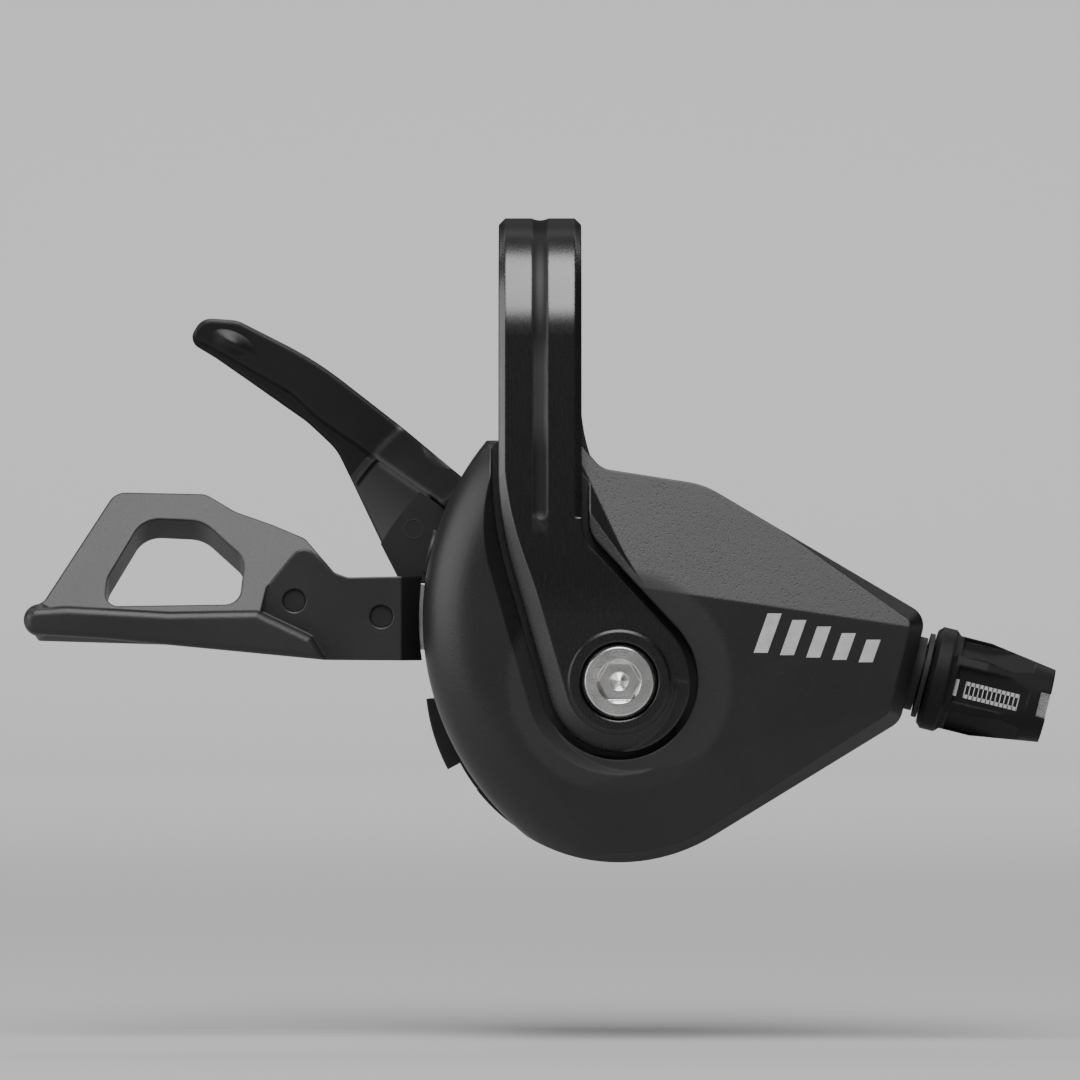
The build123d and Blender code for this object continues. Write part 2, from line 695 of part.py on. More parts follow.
def channel_bevel():
    """What the bevel takes off the channel's left wall; it fades out below the eye."""
    floor = COVER_FACE + CHANNEL_BEVEL_DEPTH
    taper = math.degrees(math.atan2(CHANNEL_BEVEL, CHANNEL_BEVEL_DEPTH))
    wide = offset(arm_outline(), CHANNEL_GAP)
    bevel = extrude(front_plane(floor) * wide, amount=CHANNEL_BEVEL_DEPTH, taper=-taper)
    fade = AXLE_X - EYE_RADIUS
    return bevel & left_of_arm(COVER_FACE, CHANNEL_BEVEL_DEPTH, fade, AXLE_X + EYE_RADIUS / 2)


def front_of_arm():
    """Everything in front of the arm's back face, with its gap: the depth of the channel."""
    lean = leg_lean(-ARM_BACK, ARM_BEND_DROP)
    top = (-BAR_RADIUS * math.cos(lean) + FLAT_GAP, BAR_RADIUS * math.sin(lean))
    bend = (CHANNEL_FLOOR, -ARM_BEND_DROP)
    corners = [(-WORK, top[1]), top, bend, (CHANNEL_FLOOR, -WORK), (-WORK, -WORK)]
    return extrude(Plane.YZ * outline(corners), amount=WORK, both=True)


def front_cover():
    """Moulded cover: flat face, facets, rolled lobe, channel for the arm, hollow inside."""
    block = slab(cover_outline(), COVER_FACE, PARTING)
    face = block.faces().sort_by(Axis.Y)[0]
    block = chamfer(face.edges(), SKIRT_INSET, SKIRT_HEIGHT, reference=face)
    lobe = disc(LOBE, LOBE_RADIUS, COVER_FACE, PARTING)
    lobe = fillet(lobe.edges().sort_by(Axis.Y)[:1], LOBE_ROLL)
    cover = block & lobe
    right_of_arm = slab(outline([(0, 0), (0, -ARM_TURN_RIGHT), AXLE, (WORK, AXLE[1]), (WORK, 0)]), -WORK, 0)
    cover -= facet_cut(CREASE_LEFT, CREASE_RIGHT, RIM_TILT, 1) & right_of_arm
    cover -= upper_scoop()
    cover -= facet_cut(LOWER_CREASE_LEFT, LOWER_CREASE_RIGHT, LOWER_FACET_TILT, -1)
    cover -= slab(offset(arm_outline(), CHANNEL_GAP), -WORK, 0) & front_of_arm()
    cover -= channel_bevel()
    cover -= disc(AXLE, CAVITY_RADIUS, COVER_INSIDE, PARTING)
    cover -= bar_space()
    cover -= disc(AXLE, AXLE_RADIUS + RUNNING_FIT, -WORK, WORK)
    cover -= cable_bar(CABLE_PASSAGE_RADIUS, 0, NOSE_REACH)
    cover -= cable_bar(INSERT_RADIUS + RUNNING_FIT, NOSE_REACH - INSERT_DEPTH, WORK)
    cover -= cable_bar(CAP_RADIUS + CAP_FIT, -WORK, 0)
    for angle in SCREW_ANGLES:
        place = around_axle(SCREW_AT, angle)
        cover -= disc(place, SCREW_RADIUS + RUNNING_FIT, PARTING - SCREW_GRIP, PARTING)
    return cover


def rear_housing():
    """Moulded rear shell: back wall, open side for the levers, saddle under the bar."""
    shell = slab(right_outline(), PARTING, HOUSING_BACK)
    back = shell.faces().sort_by(Axis.Y)[-1]
    shell = chamfer(back.edges(), REAR_EDGE)
    tab = Pos(*AXLE) * Circle(HOUSING_RADIUS + TAB_RISE) & sector(TAB_START, TAB_END)
    shell += slab(tab, SLOT_BACK, HOUSING_BACK)
    nose = cable_point(NOSE_REACH, CABLE_RADIUS + NOSE_UP)[0]
    slope = [
        (TAIL_SLOPE_START, HOUSING_BACK),
        (nose, HOUSING_BACK - TAIL_SLOPE_DEPTH),
        (nose, WORK),
        (TAIL_SLOPE_START, WORK),
    ]
    shell -= extrude(Plane.XY * outline(slope), amount=WORK, both=True)
    shell -= disc(AXLE, CAVITY_RADIUS, PARTING, HOUSING_INSIDE)
    shell -= slab(sector(SLOT_START, SLOT_END), PARTING, SLOT_BACK)
    shell -= bar_space()
    shell -= disc(AXLE, AXLE_TAIL_RADIUS + RUNNING_FIT, -WORK, WORK)
    for angle in SCREW_ANGLES:
        place = around_axle(SCREW_AT, angle)
        shell -= disc(place, SCREW_RADIUS + RUNNING_FIT, PARTING, WORK)
        shell -= disc(place, SCREW_HEAD_RADIUS + BOLT_HEAD_FIT, SCREW_SEAT, WORK)
    return shell


def cover_screw(place):
    """Pan-head screw from the back of the housing into the cover."""
    head = disc(place, SCREW_HEAD_RADIUS, SCREW_SEAT, SCREW_SEAT + SCREW_HEAD_HEIGHT)
    slot = Rectangle(SCREW_HEAD_RADIUS, CAP_SLOT) + Rectangle(CAP_SLOT, SCREW_HEAD_RADIUS)
    head -= slab(Pos(*place) * slot, SCREW_SEAT + SCREW_HEAD_HEIGHT / 2, WORK)
    return head + disc(place, SCREW_RADIUS, PARTING - SCREW_GRIP, SCREW_SEAT)


def carrier_plate(front, bore):
    """Round steel plate that holds the pillars and the holding pawl's pin."""
    plate = disc(AXLE, CAVITY_RADIUS - LEVER_SIDE_GAP, front, front + PLATE_THICKNESS)
    plate -= disc(AXLE, bore + RUNNING_FIT, -WORK, WORK)
    for angle in PILLAR_ANGLES:
        plate -= disc(around_axle(PILLAR_AT, angle), PILLAR_RADIUS + RUNNING_FIT, -WORK, WORK)
    pin = around_axle(PAWL_PIN_AT, HOLD_PAWL_ANGLE)
    return plate - disc(pin, PAWL_PIN_RADIUS + RUNNING_FIT, -WORK, WORK)


def pillar(angle):
    """Spacer pin between the two carrier plates."""
    return disc(around_axle(PILLAR_AT, angle), PILLAR_RADIUS, FRONT_PLATE_FRONT, BASE_PLATE_BACK)


def spiral_spring(place, start, wire, pitch, half_turns, front, thickness):
    """Flat spiral spring made of half rings that grow by half a pitch each."""
    spring = None
    for turn in range(half_turns):
        radius = start + turn * pitch / 2
        shift = (pitch / 4) * (1 if turn % 2 else -1)
        side = Align.MIN if turn % 2 else Align.MAX
        ring = Circle(radius + wire / 2) - Circle(radius - wire / 2)
        half = ring & Rectangle(4 * radius, 2 * radius, align=(Align.CENTER, side))
        half = Pos(place[0] + shift, place[1]) * half
        spring = half if spring is None else spring + half
    return slab(spring, front, front + thickness)


def ratchet_wheel():
    """Saw-toothed steel wheel fixed behind the cable reel."""
    count = round(360 / TOOTH_PITCH)
    first = FEED_PAWL_ANGLE + PAWL_REACH + TOOTH_BACKLASH
    corners = []
    for tooth in range(count):
        angle = first + tooth * TOOTH_PITCH
        corners.append(around_axle(TOOTH_ROOT_RADIUS, angle))
        corners.append(around_axle(TOOTH_TIP_RADIUS, angle))
    wheel = slab(outline(corners), REEL_BACK, RATCHET_BACK)
    return wheel - disc(AXLE, AXLE_RADIUS + RUNNING_FIT, -WORK, WORK)


def cable_reel():
    """Grooved reel that takes up the cable, with a pocket for its spring."""
    reel = disc(AXLE, REEL_RADIUS, REEL_FRONT, REEL_BACK)
    groove = (CABLE_DIAMETER / 2) + CABLE_GROOVE_FIT
    ring = disc(AXLE, WORK, CABLE_DEPTH - groove, CABLE_DEPTH + groove)
    reel -= ring - disc(AXLE, CABLE_RADIUS - CABLE_DIAMETER / 2, -WORK, WORK)
    reel -= disc(AXLE, REEL_POCKET_RADIUS, REEL_FRONT, REEL_FRONT + REEL_POCKET_DEPTH)
    reel += disc(AXLE, REEL_HUB_RADIUS, REEL_FRONT, REEL_BACK)
    nipple = around_axle(CABLE_RADIUS, NIPPLE_ANGLE)
    reel -= disc(nipple, NIPPLE_RADIUS, CABLE_DEPTH - groove, REEL_BACK)
    return reel - disc(AXLE, AXLE_RADIUS + RUNNING_FIT, -WORK, WORK)


def pawl(angle):
    """Pawl with its hub on a pin and its nose just above the teeth."""
    pin = around_axle(PAWL_PIN_AT, angle)
    nose = angle + PAWL_REACH
    corners = [
        around_axle(PAWL_NOSE_RADIUS, nose),
        around_axle(PAWL_NOSE_RADIUS + PAWL_NOSE_HEIGHT, nose),
        around_axle(PAWL_PIN_AT + PAWL_HUB_RADIUS / 2, angle + PAWL_REACH / 4),
        pin,
        around_axle(PAWL_PIN_AT - PAWL_BELLY, angle + PAWL_REACH / 4),
    ]
    shape = outline(corners) + Pos(*pin) * Circle(PAWL_HUB_RADIUS)
    body = slab(shape, REEL_BACK + PAWL_SIDE_GAP, RATCHET_BACK - PAWL_SIDE_GAP)
    return body - disc(pin, PAWL_PIN_RADIUS + RUNNING_FIT, -WORK, WORK)


def pawl_pin(angle, front, back):
    """Straight pin of a pawl."""
    return disc(around_axle(PAWL_PIN_AT, angle), PAWL_PIN_RADIUS, front, back)


def pawl_spring(angle, front):
    """Small spiral spring round a pawl's pin."""
    start = PAWL_PIN_RADIUS + PAWL_SPRING_WIRE + PAWL_SPRING_PITCH / 4
    return spiral_spring(
        around_axle(PAWL_PIN_AT, angle),
        start,
        PAWL_SPRING_WIRE,
        PAWL_SPRING_PITCH,
        PAWL_SPRING_HALF_TURNS,
        front,
        PAWL_SPRING_WIRE,
    )


def main_lever_plate():
    """Steel plate of the main lever: hub, lug for the feed pawl, arm into the paddle."""
    lug = around_axle(PAWL_PIN_AT, FEED_PAWL_ANGLE)
    shape = Pos(*AXLE) * Circle(MAIN_HUB_RADIUS) + Pos(*lug) * Circle(MAIN_LUG_RADIUS)
    shape += outline(
        [
            AXLE,
            around_axle(MAIN_HUB_RADIUS, FEED_PAWL_ANGLE - LUG_FOOT_RIGHT),
            around_axle(PAWL_PIN_AT, FEED_PAWL_ANGLE - LUG_HALF_ANGLE),
            around_axle(PAWL_PIN_AT, FEED_PAWL_ANGLE + LUG_HALF_ANGLE),
            around_axle(MAIN_HUB_RADIUS, FEED_PAWL_ANGLE + LUG_FOOT_LEFT),
        ]
    )
    arm_top = around_axle(MAIN_ARM_ROOT, MAIN_ARM_ROOT_TOP)
    arm_bottom = around_axle(MAIN_ARM_ROOT, MAIN_ARM_ROOT_BOTTOM)
    shape += outline([arm_top, *map(from_axle, MAIN_ARM), arm_bottom])
    plate = slab(shape, MAIN_PLATE_FRONT, MAIN_PLATE_BACK)
    plate -= disc(AXLE, AXLE_RADIUS + RUNNING_FIT, -WORK, WORK)
    plate -= disc(lug, PAWL_PIN_RADIUS + RUNNING_FIT, -WORK, WORK)
    for place in map(from_axle, MAIN_RIVETS):
        plate -= disc(place, RIVET_RADIUS + RUNNING_FIT, -WORK, WORK)
    return plate


def leaning(points):
    """Front-view points carried onto the leaning plane of the paddle's frame."""
    stretch = math.cos(math.radians(PADDLE_LEAN))
    return [(AXLE[0] + x, (z - PADDLE_FOOT_RISE) / stretch) for x, z in points]


def leaning_slab(points, radii, thickness):
    """Piece of the leaning frame, seen from the front with the given outline."""
    lean = math.radians(PADDLE_LEAN)
    plane = Plane(
        origin=(0, PADDLE_FOOT_DEPTH, AXLE[1] + PADDLE_FOOT_RISE),
        x_dir=(1, 0, 0),
        z_dir=(0, -math.cos(lean), math.sin(lean)),
    )
    return extrude(plane * outline(leaning(points), radii), amount=-thickness)


def main_lever_paddle():
    """Moulded thumb paddle: open leaning frame, bottom blade and arm onto the plate."""
    front = MAIN_PLATE_FRONT - PADDLE_ARM_THICKNESS
    frame = leaning_slab(PADDLE_FRAME, PADDLE_FRAME_ROUND, PADDLE_FRAME_THICKNESS)
    frame -= leaning_slab(PADDLE_WINDOW, PADDLE_WINDOW_ROUND, 2 * PADDLE_FRAME_THICKNESS)
    frame = fillet(frame.faces().sort_by(Axis.Y)[0].edges(), PADDLE_EDGE)
    frame -= slab(axle_outline(PADDLE_ARM, PADDLE_ARM_ROUND), -WORK, front)
    blade = slab(axle_outline(PADDLE_BLADE, PADDLE_BLADE_ROUND), BLADE_FRONT, BLADE_BACK)
    blade -= facet_cut(LEDGE_LEFT, LEDGE_RIGHT, LEDGE_TILT, 1, BLADE_FRONT)
    blade = fillet(blade.faces().sort_by(Axis.Y)[0].edges(), PADDLE_EDGE)
    roll = disc(from_axle(BLADE_TIP), BLADE_TIP_RADIUS, BLADE_FRONT + PADDLE_EDGE, BLADE_BACK)
    roll = fillet(roll.edges(), PADDLE_EDGE)
    paddle = frame + blade + roll
    arm = slab(axle_outline(PADDLE_ARM, PADDLE_ARM_ROUND), front, MAIN_PLATE_FRONT)
    paddle += arm - facet_cut(ARM_END_TOP, ARM_END_BOTTOM, ARM_END_TILT, 1, front)
    paddle -= slab(offset(axle_outline(MAIN_ARM_POCKET), LEVER_SIDE_GAP), MAIN_PLATE_FRONT, WORK)
    paddle -= disc(LOBE, LOBE_RADIUS + LEVER_SIDE_GAP, -WORK, WORK)
    for place in map(from_axle, MAIN_RIVETS):
        paddle -= disc(place, RIVET_RADIUS + RUNNING_FIT, -WORK, WORK)
        seat = front + RIVET_SINK + RIVET_HEAD_HEIGHT
        paddle -= disc(place, RIVET_HEAD_RADIUS + RUNNING_FIT, -WORK, seat)
    return paddle


def rivet(place, front, back):
    """Rivet with a sunk head in front and a flush tail."""
    shank = disc(place, RIVET_RADIUS, front, back)
    return shank + disc(place, RIVET_HEAD_RADIUS, front, front + RIVET_HEAD_HEIGHT)


def release_web():
    """Front view of the release lever's plate: hub and web."""
    web = axle_outline(RELEASE_WEB) & (Pos(*AXLE) * Circle(RELEASE_PLATE_REACH))
    return web + Pos(*AXLE) * Circle(RELEASE_HUB_RADIUS)


def release_lever_plate():
    """Steel plate of the release lever."""
    plate = slab(release_web(), RELEASE_PLATE_FRONT, RELEASE_PLATE_BACK)
    plate -= disc(AXLE, AXLE_RADIUS + RUNNING_FIT, -WORK, WORK)
    for place in map(from_axle, TRIGGER_RIVETS):
        plate -= disc(place, RIVET_RADIUS + RUNNING_FIT, -WORK, WORK)
    return plate


def release_trigger():
    """Moulded finger trigger, cranked backwards to pass below the handlebar."""
    pad_back = TRIGGER_PAD_FRONT + TRIGGER_PAD_WIDTH
    root_back = RELEASE_PLATE_BACK + TRIGGER_ROOT_THICKNESS
    root_front = RELEASE_PLATE_FRONT - TRIGGER_STEP
    crank = [
        (TRIGGER_ROOT, root_front),
        (TRIGGER_CRANK_START, root_front),
        (TRIGGER_CRANK_END, TRIGGER_PAD_FRONT),
        (TRIGGER_TIP_REACH, TRIGGER_PAD_FRONT),
        (TRIGGER_TIP_REACH, pad_back),
        (TRIGGER_CRANK_END + TRIGGER_ROOT_THICKNESS, pad_back),
        (TRIGGER_CRANK_START + TRIGGER_ROOT_THICKNESS, root_back),
        (TRIGGER_ROOT, root_back),
    ]
    profile = Pos(AXLE[0], 0, AXLE[1]) * (Plane.XY * outline(crank))
    ring = revolve(profile, Axis((AXLE[0], 0, AXLE[1]), (0, 1, 0)))
    trigger = slab(axle_outline(TRIGGER_SHAPE, TRIGGER_ROUND), -WORK, WORK) & ring
    rims = trigger.edges().filter_by_position(Axis.Y, TRIGGER_PAD_FRONT, TRIGGER_PAD_FRONT)
    trigger = fillet(rims, TRIGGER_EDGE)
    foot = [(TRIGGER_CREASE[-1][0], 0), (TRIGGER_CREASE[0][0], 0)]
    below = axle_outline([*TRIGGER_CREASE, *foot], TRIGGER_CREASE_ROUND)
    trigger -= slab(below, -WORK, WORK) & (ring - Pos(0, TRIGGER_STEP, 0) * ring)
    trigger -= slab(offset(release_web(), RUNNING_FIT), -WORK, RELEASE_PLATE_BACK)
    trigger -= turned(bar_space(), RELEASE_SWING)
    for place in map(from_axle, TRIGGER_RIVETS):
        trigger -= disc(place, RIVET_RADIUS + RUNNING_FIT, -WORK, WORK)
    return trigger


def adjuster_insert():
    """Threaded sleeve in the housing's nose, with a short neck outside."""
    sleeve = cable_bar(INSERT_RADIUS, NOSE_REACH - INSERT_DEPTH, NOSE_REACH + INSERT_NECK)
    return sleeve - cable_bar(ADJUSTER_RADIUS + ADJUSTER_FIT, 0, WORK)


def knob_start():
    """Distance of the knob's inner end along the cable."""
    return NOSE_REACH + INSERT_NECK + DETENT_THICKNESS + 2 * PLATE_GAP


def detent_ring():
    """Spring washer with the adjuster's clicks, between neck and knob."""
    start = NOSE_REACH + INSERT_NECK + PLATE_GAP
    ring = cable_bar(DETENT_RADIUS, start, start + DETENT_THICKNESS)
    return ring - cable_bar(ADJUSTER_HEAD_RADIUS + ADJUSTER_FIT, 0, WORK)


def flatted(radius):
    """Round section with two flats, as the keyed end of the adjuster."""
    return Circle(radius) & Rectangle(2 * (radius - ADJUSTER_HEAD_RADIUS + ADJUSTER_FLAT), 4 * radius)


def adjuster_knob():
    """Six-sided tapered knob with a collar, sunk panels on its faces and a notched end."""
    start = knob_start()
    side = [
        (0, 0),
        (KNOB_COLLAR_RADIUS - KNOB_EDGE, 0),
        (KNOB_COLLAR_RADIUS, KNOB_EDGE),
        (KNOB_COLLAR_RADIUS, KNOB_COLLAR_LENGTH),
        (KNOB_WAIST_RADIUS, KNOB_COLLAR_LENGTH + KNOB_EDGE),
        (KNOB_WAIST_RADIUS, KNOB_WAIST_LENGTH),
        (KNOB_TIP_RADIUS, KNOB_LENGTH),
        (0, KNOB_LENGTH),
    ]
    place = cable_plane(start)
    body = revolve(Plane.XZ * outline(side), Axis.Z)
    half_face = 180 / KNOB_FACES
    hexagon = RegularPolygon(KNOB_FLAT, KNOB_FACES, major_radius=False, rotation=half_face)
    faces = extrude(hexagon, amount=KNOB_LENGTH)
    collar = extrude(Circle(KNOB_COLLAR_RADIUS), amount=KNOB_COLLAR_LENGTH)
    body = body & (faces + collar)
    body -= extrude(flatted(ADJUSTER_HEAD_RADIUS + ADJUSTER_FIT), amount=KNOB_LENGTH)
    out = (Align.MIN, Align.CENTER, Align.MIN)
    panel = Pos(KNOB_FLAT - PANEL_DEPTH, 0, PANEL_START) * Box(WORK, PANEL_WIDTH, PANEL_LENGTH, align=out)
    notch = Pos(0, 0, KNOB_LENGTH - NOTCH_LENGTH) * Box(WORK, NOTCH_WIDTH, WORK, align=out)
    for face in range(KNOB_FACES):
        turn = Rot(0, 0, 2 * half_face * face)
        body -= turn * panel
        if face % 2 == 0:
            body -= turn * notch
    return place * body


def adjuster_bolt():
    """Hollow screw: thread in the sleeve, keyed head in the knob, socket for the casing."""
    head_start = knob_start()
    end = head_start + KNOB_LENGTH
    bolt = cable_bar(ADJUSTER_RADIUS, NOSE_REACH - INSERT_DEPTH + PLATE_GAP, head_start)
    bolt += extrude(cable_plane(head_start) * flatted(ADJUSTER_HEAD_RADIUS), amount=KNOB_LENGTH)
    bolt -= cable_bar(CABLE_BORE_RADIUS, 0, WORK)
    return bolt - cable_bar(SOCKET_RADIUS, end - SOCKET_DEPTH, WORK)


def cable_hole_cap():
    """Slotted plug in the cover's side on the cable's line."""
    plug = cable_bar(CAP_RADIUS, -CAP_FAR, -CAP_NEAR)
    slot = cable_plane(-CAP_FAR) * Rectangle(CAP_SLOT, 4 * CAP_RADIUS)
    return plug - extrude(slot, amount=CAP_SLOT)


def build():
    """All pieces by node name."""
    release_spring_front = RELEASE_PLATE_BACK + (RELEASE_SPRING_ROOM - SPRING_THICKNESS) / 2
    lever_spring_front = RATCHET_BACK + (SPRING_ROOM - SPRING_THICKNESS) / 2
    reel_spring_front = REEL_FRONT + PLATE_GAP
    spiral = (SPRING_START, SPRING_WIRE, SPRING_PITCH, SPRING_HALF_TURNS)
    reel_spiral = (SPRING_START, REEL_SPRING_WIRE, REEL_SPRING_PITCH, REEL_SPRING_HALF_TURNS)
    pieces = {
        "clamp_band": clamp_band(),
        "clamp_bolt": clamp_bolt(),
        "main_axle": main_axle(),
        "axle_nut": axle_nut(),
        "front_cover": front_cover(),
        "rear_housing": rear_housing(),
        "front_plate": carrier_plate(FRONT_PLATE_FRONT, AXLE_RADIUS),
        "base_plate": carrier_plate(BASE_PLATE_FRONT, AXLE_TAIL_RADIUS),
        "cable_reel": cable_reel(),
        "ratchet_wheel": ratchet_wheel(),
        "reel_spring": spiral_spring(AXLE, *reel_spiral, reel_spring_front, SPRING_THICKNESS),
        "lever_spring": spiral_spring(AXLE, *spiral, lever_spring_front, SPRING_THICKNESS),
        "release_spring": spiral_spring(AXLE, *spiral, release_spring_front, SPRING_THICKNESS),
        "feed_pawl": pawl(FEED_PAWL_ANGLE),
        "holding_pawl": pawl(HOLD_PAWL_ANGLE),
        "feed_pawl_pin": pawl_pin(FEED_PAWL_ANGLE, REEL_BACK, MAIN_PLATE_BACK),
        "holding_pawl_pin": pawl_pin(HOLD_PAWL_ANGLE, FRONT_PLATE_FRONT, BASE_PLATE_BACK),
        "feed_pawl_spring": pawl_spring(FEED_PAWL_ANGLE, RATCHET_BACK + PAWL_SIDE_GAP),
        "holding_pawl_spring": pawl_spring(HOLD_PAWL_ANGLE, RATCHET_BACK + PAWL_SIDE_GAP),
        "main_lever_plate": main_lever_plate(),
        "main_lever_paddle": main_lever_paddle(),
        "release_lever_plate": release_lever_plate(),
        "release_trigger": release_trigger(),
        "adjuster_insert": adjuster_insert(),
        "detent_ring": detent_ring(),
        "adjuster_knob": adjuster_knob(),
        "adjuster_bolt": adjuster_bolt(),
        "cable_hole_cap": cable_hole_cap(),
    }
    for number, angle in enumerate(SCREW_ANGLES, 1):
        pieces[f"cover_screw_{number}"] = cover_screw(around_axle(SCREW_AT, angle))
    for number, angle in enumerate(PILLAR_ANGLES, 1):
        pieces[f"pillar_{number}"] = pillar(angle)
    paddle_front = MAIN_PLATE_FRONT - PADDLE_ARM_THICKNESS
    for number, place in enumerate(map(from_axle, MAIN_RIVETS), 1):
        pieces[f"main_lever_rivet_{number}"] = rivet(place, paddle_front + RIVET_SINK, MAIN_PLATE_BACK)
    for number, place in enumerate(map(from_axle, TRIGGER_RIVETS), 1):
        back = RELEASE_PLATE_BACK + TRIGGER_ROOT_THICKNESS
        pieces[f"trigger_rivet_{number}"] = disc(place, RIVET_RADIUS, RELEASE_PLATE_FRONT, back)
    return pieces


os.makedirs("parts", exist_ok=True)
for name, piece in build().items():
    export_step(piece, f"parts/{name}.step")
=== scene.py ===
import logging
import math
from dataclasses import dataclass
from enum import Enum
from typing import Any, Iterable, Protocol

import bpy
import numpy as np
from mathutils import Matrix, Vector


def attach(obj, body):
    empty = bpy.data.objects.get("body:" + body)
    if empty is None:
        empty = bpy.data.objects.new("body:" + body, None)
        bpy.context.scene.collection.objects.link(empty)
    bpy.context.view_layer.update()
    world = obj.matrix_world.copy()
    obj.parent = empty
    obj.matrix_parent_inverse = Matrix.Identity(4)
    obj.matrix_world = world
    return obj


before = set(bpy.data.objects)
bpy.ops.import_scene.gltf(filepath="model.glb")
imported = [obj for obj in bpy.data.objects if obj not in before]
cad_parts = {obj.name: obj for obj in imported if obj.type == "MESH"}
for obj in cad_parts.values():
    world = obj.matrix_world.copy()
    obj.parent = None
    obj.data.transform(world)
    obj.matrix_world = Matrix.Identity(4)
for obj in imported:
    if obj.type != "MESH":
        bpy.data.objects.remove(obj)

LOG = logging.getLogger("shifter")

Span = tuple[float, float]
Point = tuple[float, float, float]
Colour = tuple[float, float, float, float]

# One picture point covers PIXEL metres at the object. FILM is a thin layer of print or lacquer.
MM = 0.001
PIXEL = 0.107 * MM
IMAGE_SIDE = 1080
FILM = 0.03 * MM

# X and Z of the main axle in millimetres.
AXLE = (8.45, -35.95)

# A noise value swings about its middle, and most of it lies in its span.
NOISE_MIDDLE = 0.5
NOISE_SPAN = (0.3, 0.7)

# A rounded edge turns the normal, and this much of the turn marks it as an edge.
EDGE_SAMPLES = 8
EDGE_SPAN = (0.01, 0.18)

# Numbers of the two colours and of the blend where colours are mixed.
MIX_FIRST = 6
MIX_SECOND = 7
MIX_RESULT = 2

# A box of two outlines of four corners, the front one first.
BOX_CORNERS = 8
BOX_QUADS = np.array([[0, 1, 2, 3], [7, 6, 5, 4], [0, 4, 5, 1], [1, 5, 6, 2], [2, 6, 7, 3], [3, 7, 4, 0]])


def grey(tone: float, warmth: float = 0.0) -> Colour:
    """A grey with a little warmth."""
    return (tone * (1 + warmth), tone, tone * (1 - warmth), 1.0)


class Value:
    """A shader value on its way to a socket. Arithmetic on it adds Math nodes."""

    def __init__(self, shader: "Shader", socket: bpy.types.NodeSocket) -> None:
        """Keep the socket and the shader it belongs to."""
        self.shader = shader
        self.socket = socket

    def _math(self, operation: str, first: Any, second: Any) -> "Value":
        """One Math node on two values."""
        return self.shader.node("ShaderNodeMath", {"operation": operation}, {0: first, 1: second})

    def __add__(self, other: Any) -> "Value":
        """Sum."""
        return self._math("ADD", self, other)

    def __radd__(self, other: Any) -> "Value":
        """Sum with a number on the left."""
        return self._math("ADD", other, self)

    def __sub__(self, other: Any) -> "Value":
        """Difference."""
        return self._math("SUBTRACT", self, other)

    def __rsub__(self, other: Any) -> "Value":
        """Difference from a number on the left."""
        return self._math("SUBTRACT", other, self)

    def __mul__(self, other: Any) -> "Value":
        """Product."""
        return self._math("MULTIPLY", self, other)

    def __rmul__(self, other: Any) -> "Value":
        """Product with a number on the left."""
        return self._math("MULTIPLY", other, self)

    def swing(self, amount: float) -> "Value":
        """How far a noise is from its middle, times an amount."""
        return amount * (self - NOISE_MIDDLE)

    def between(self, low: float, high: float) -> "Value":
        """Smooth step of the value.

        Args:
            low: Where the step starts, at 0.
            high: Where the step ends, at 1.

        Returns:
            The step as a value from 0 to 1.
        """
        return self.shader.node(
            "ShaderNodeMapRange", {"interpolation_type": "SMOOTHSTEP"}, {0: self, 1: low, 2: high}
        )


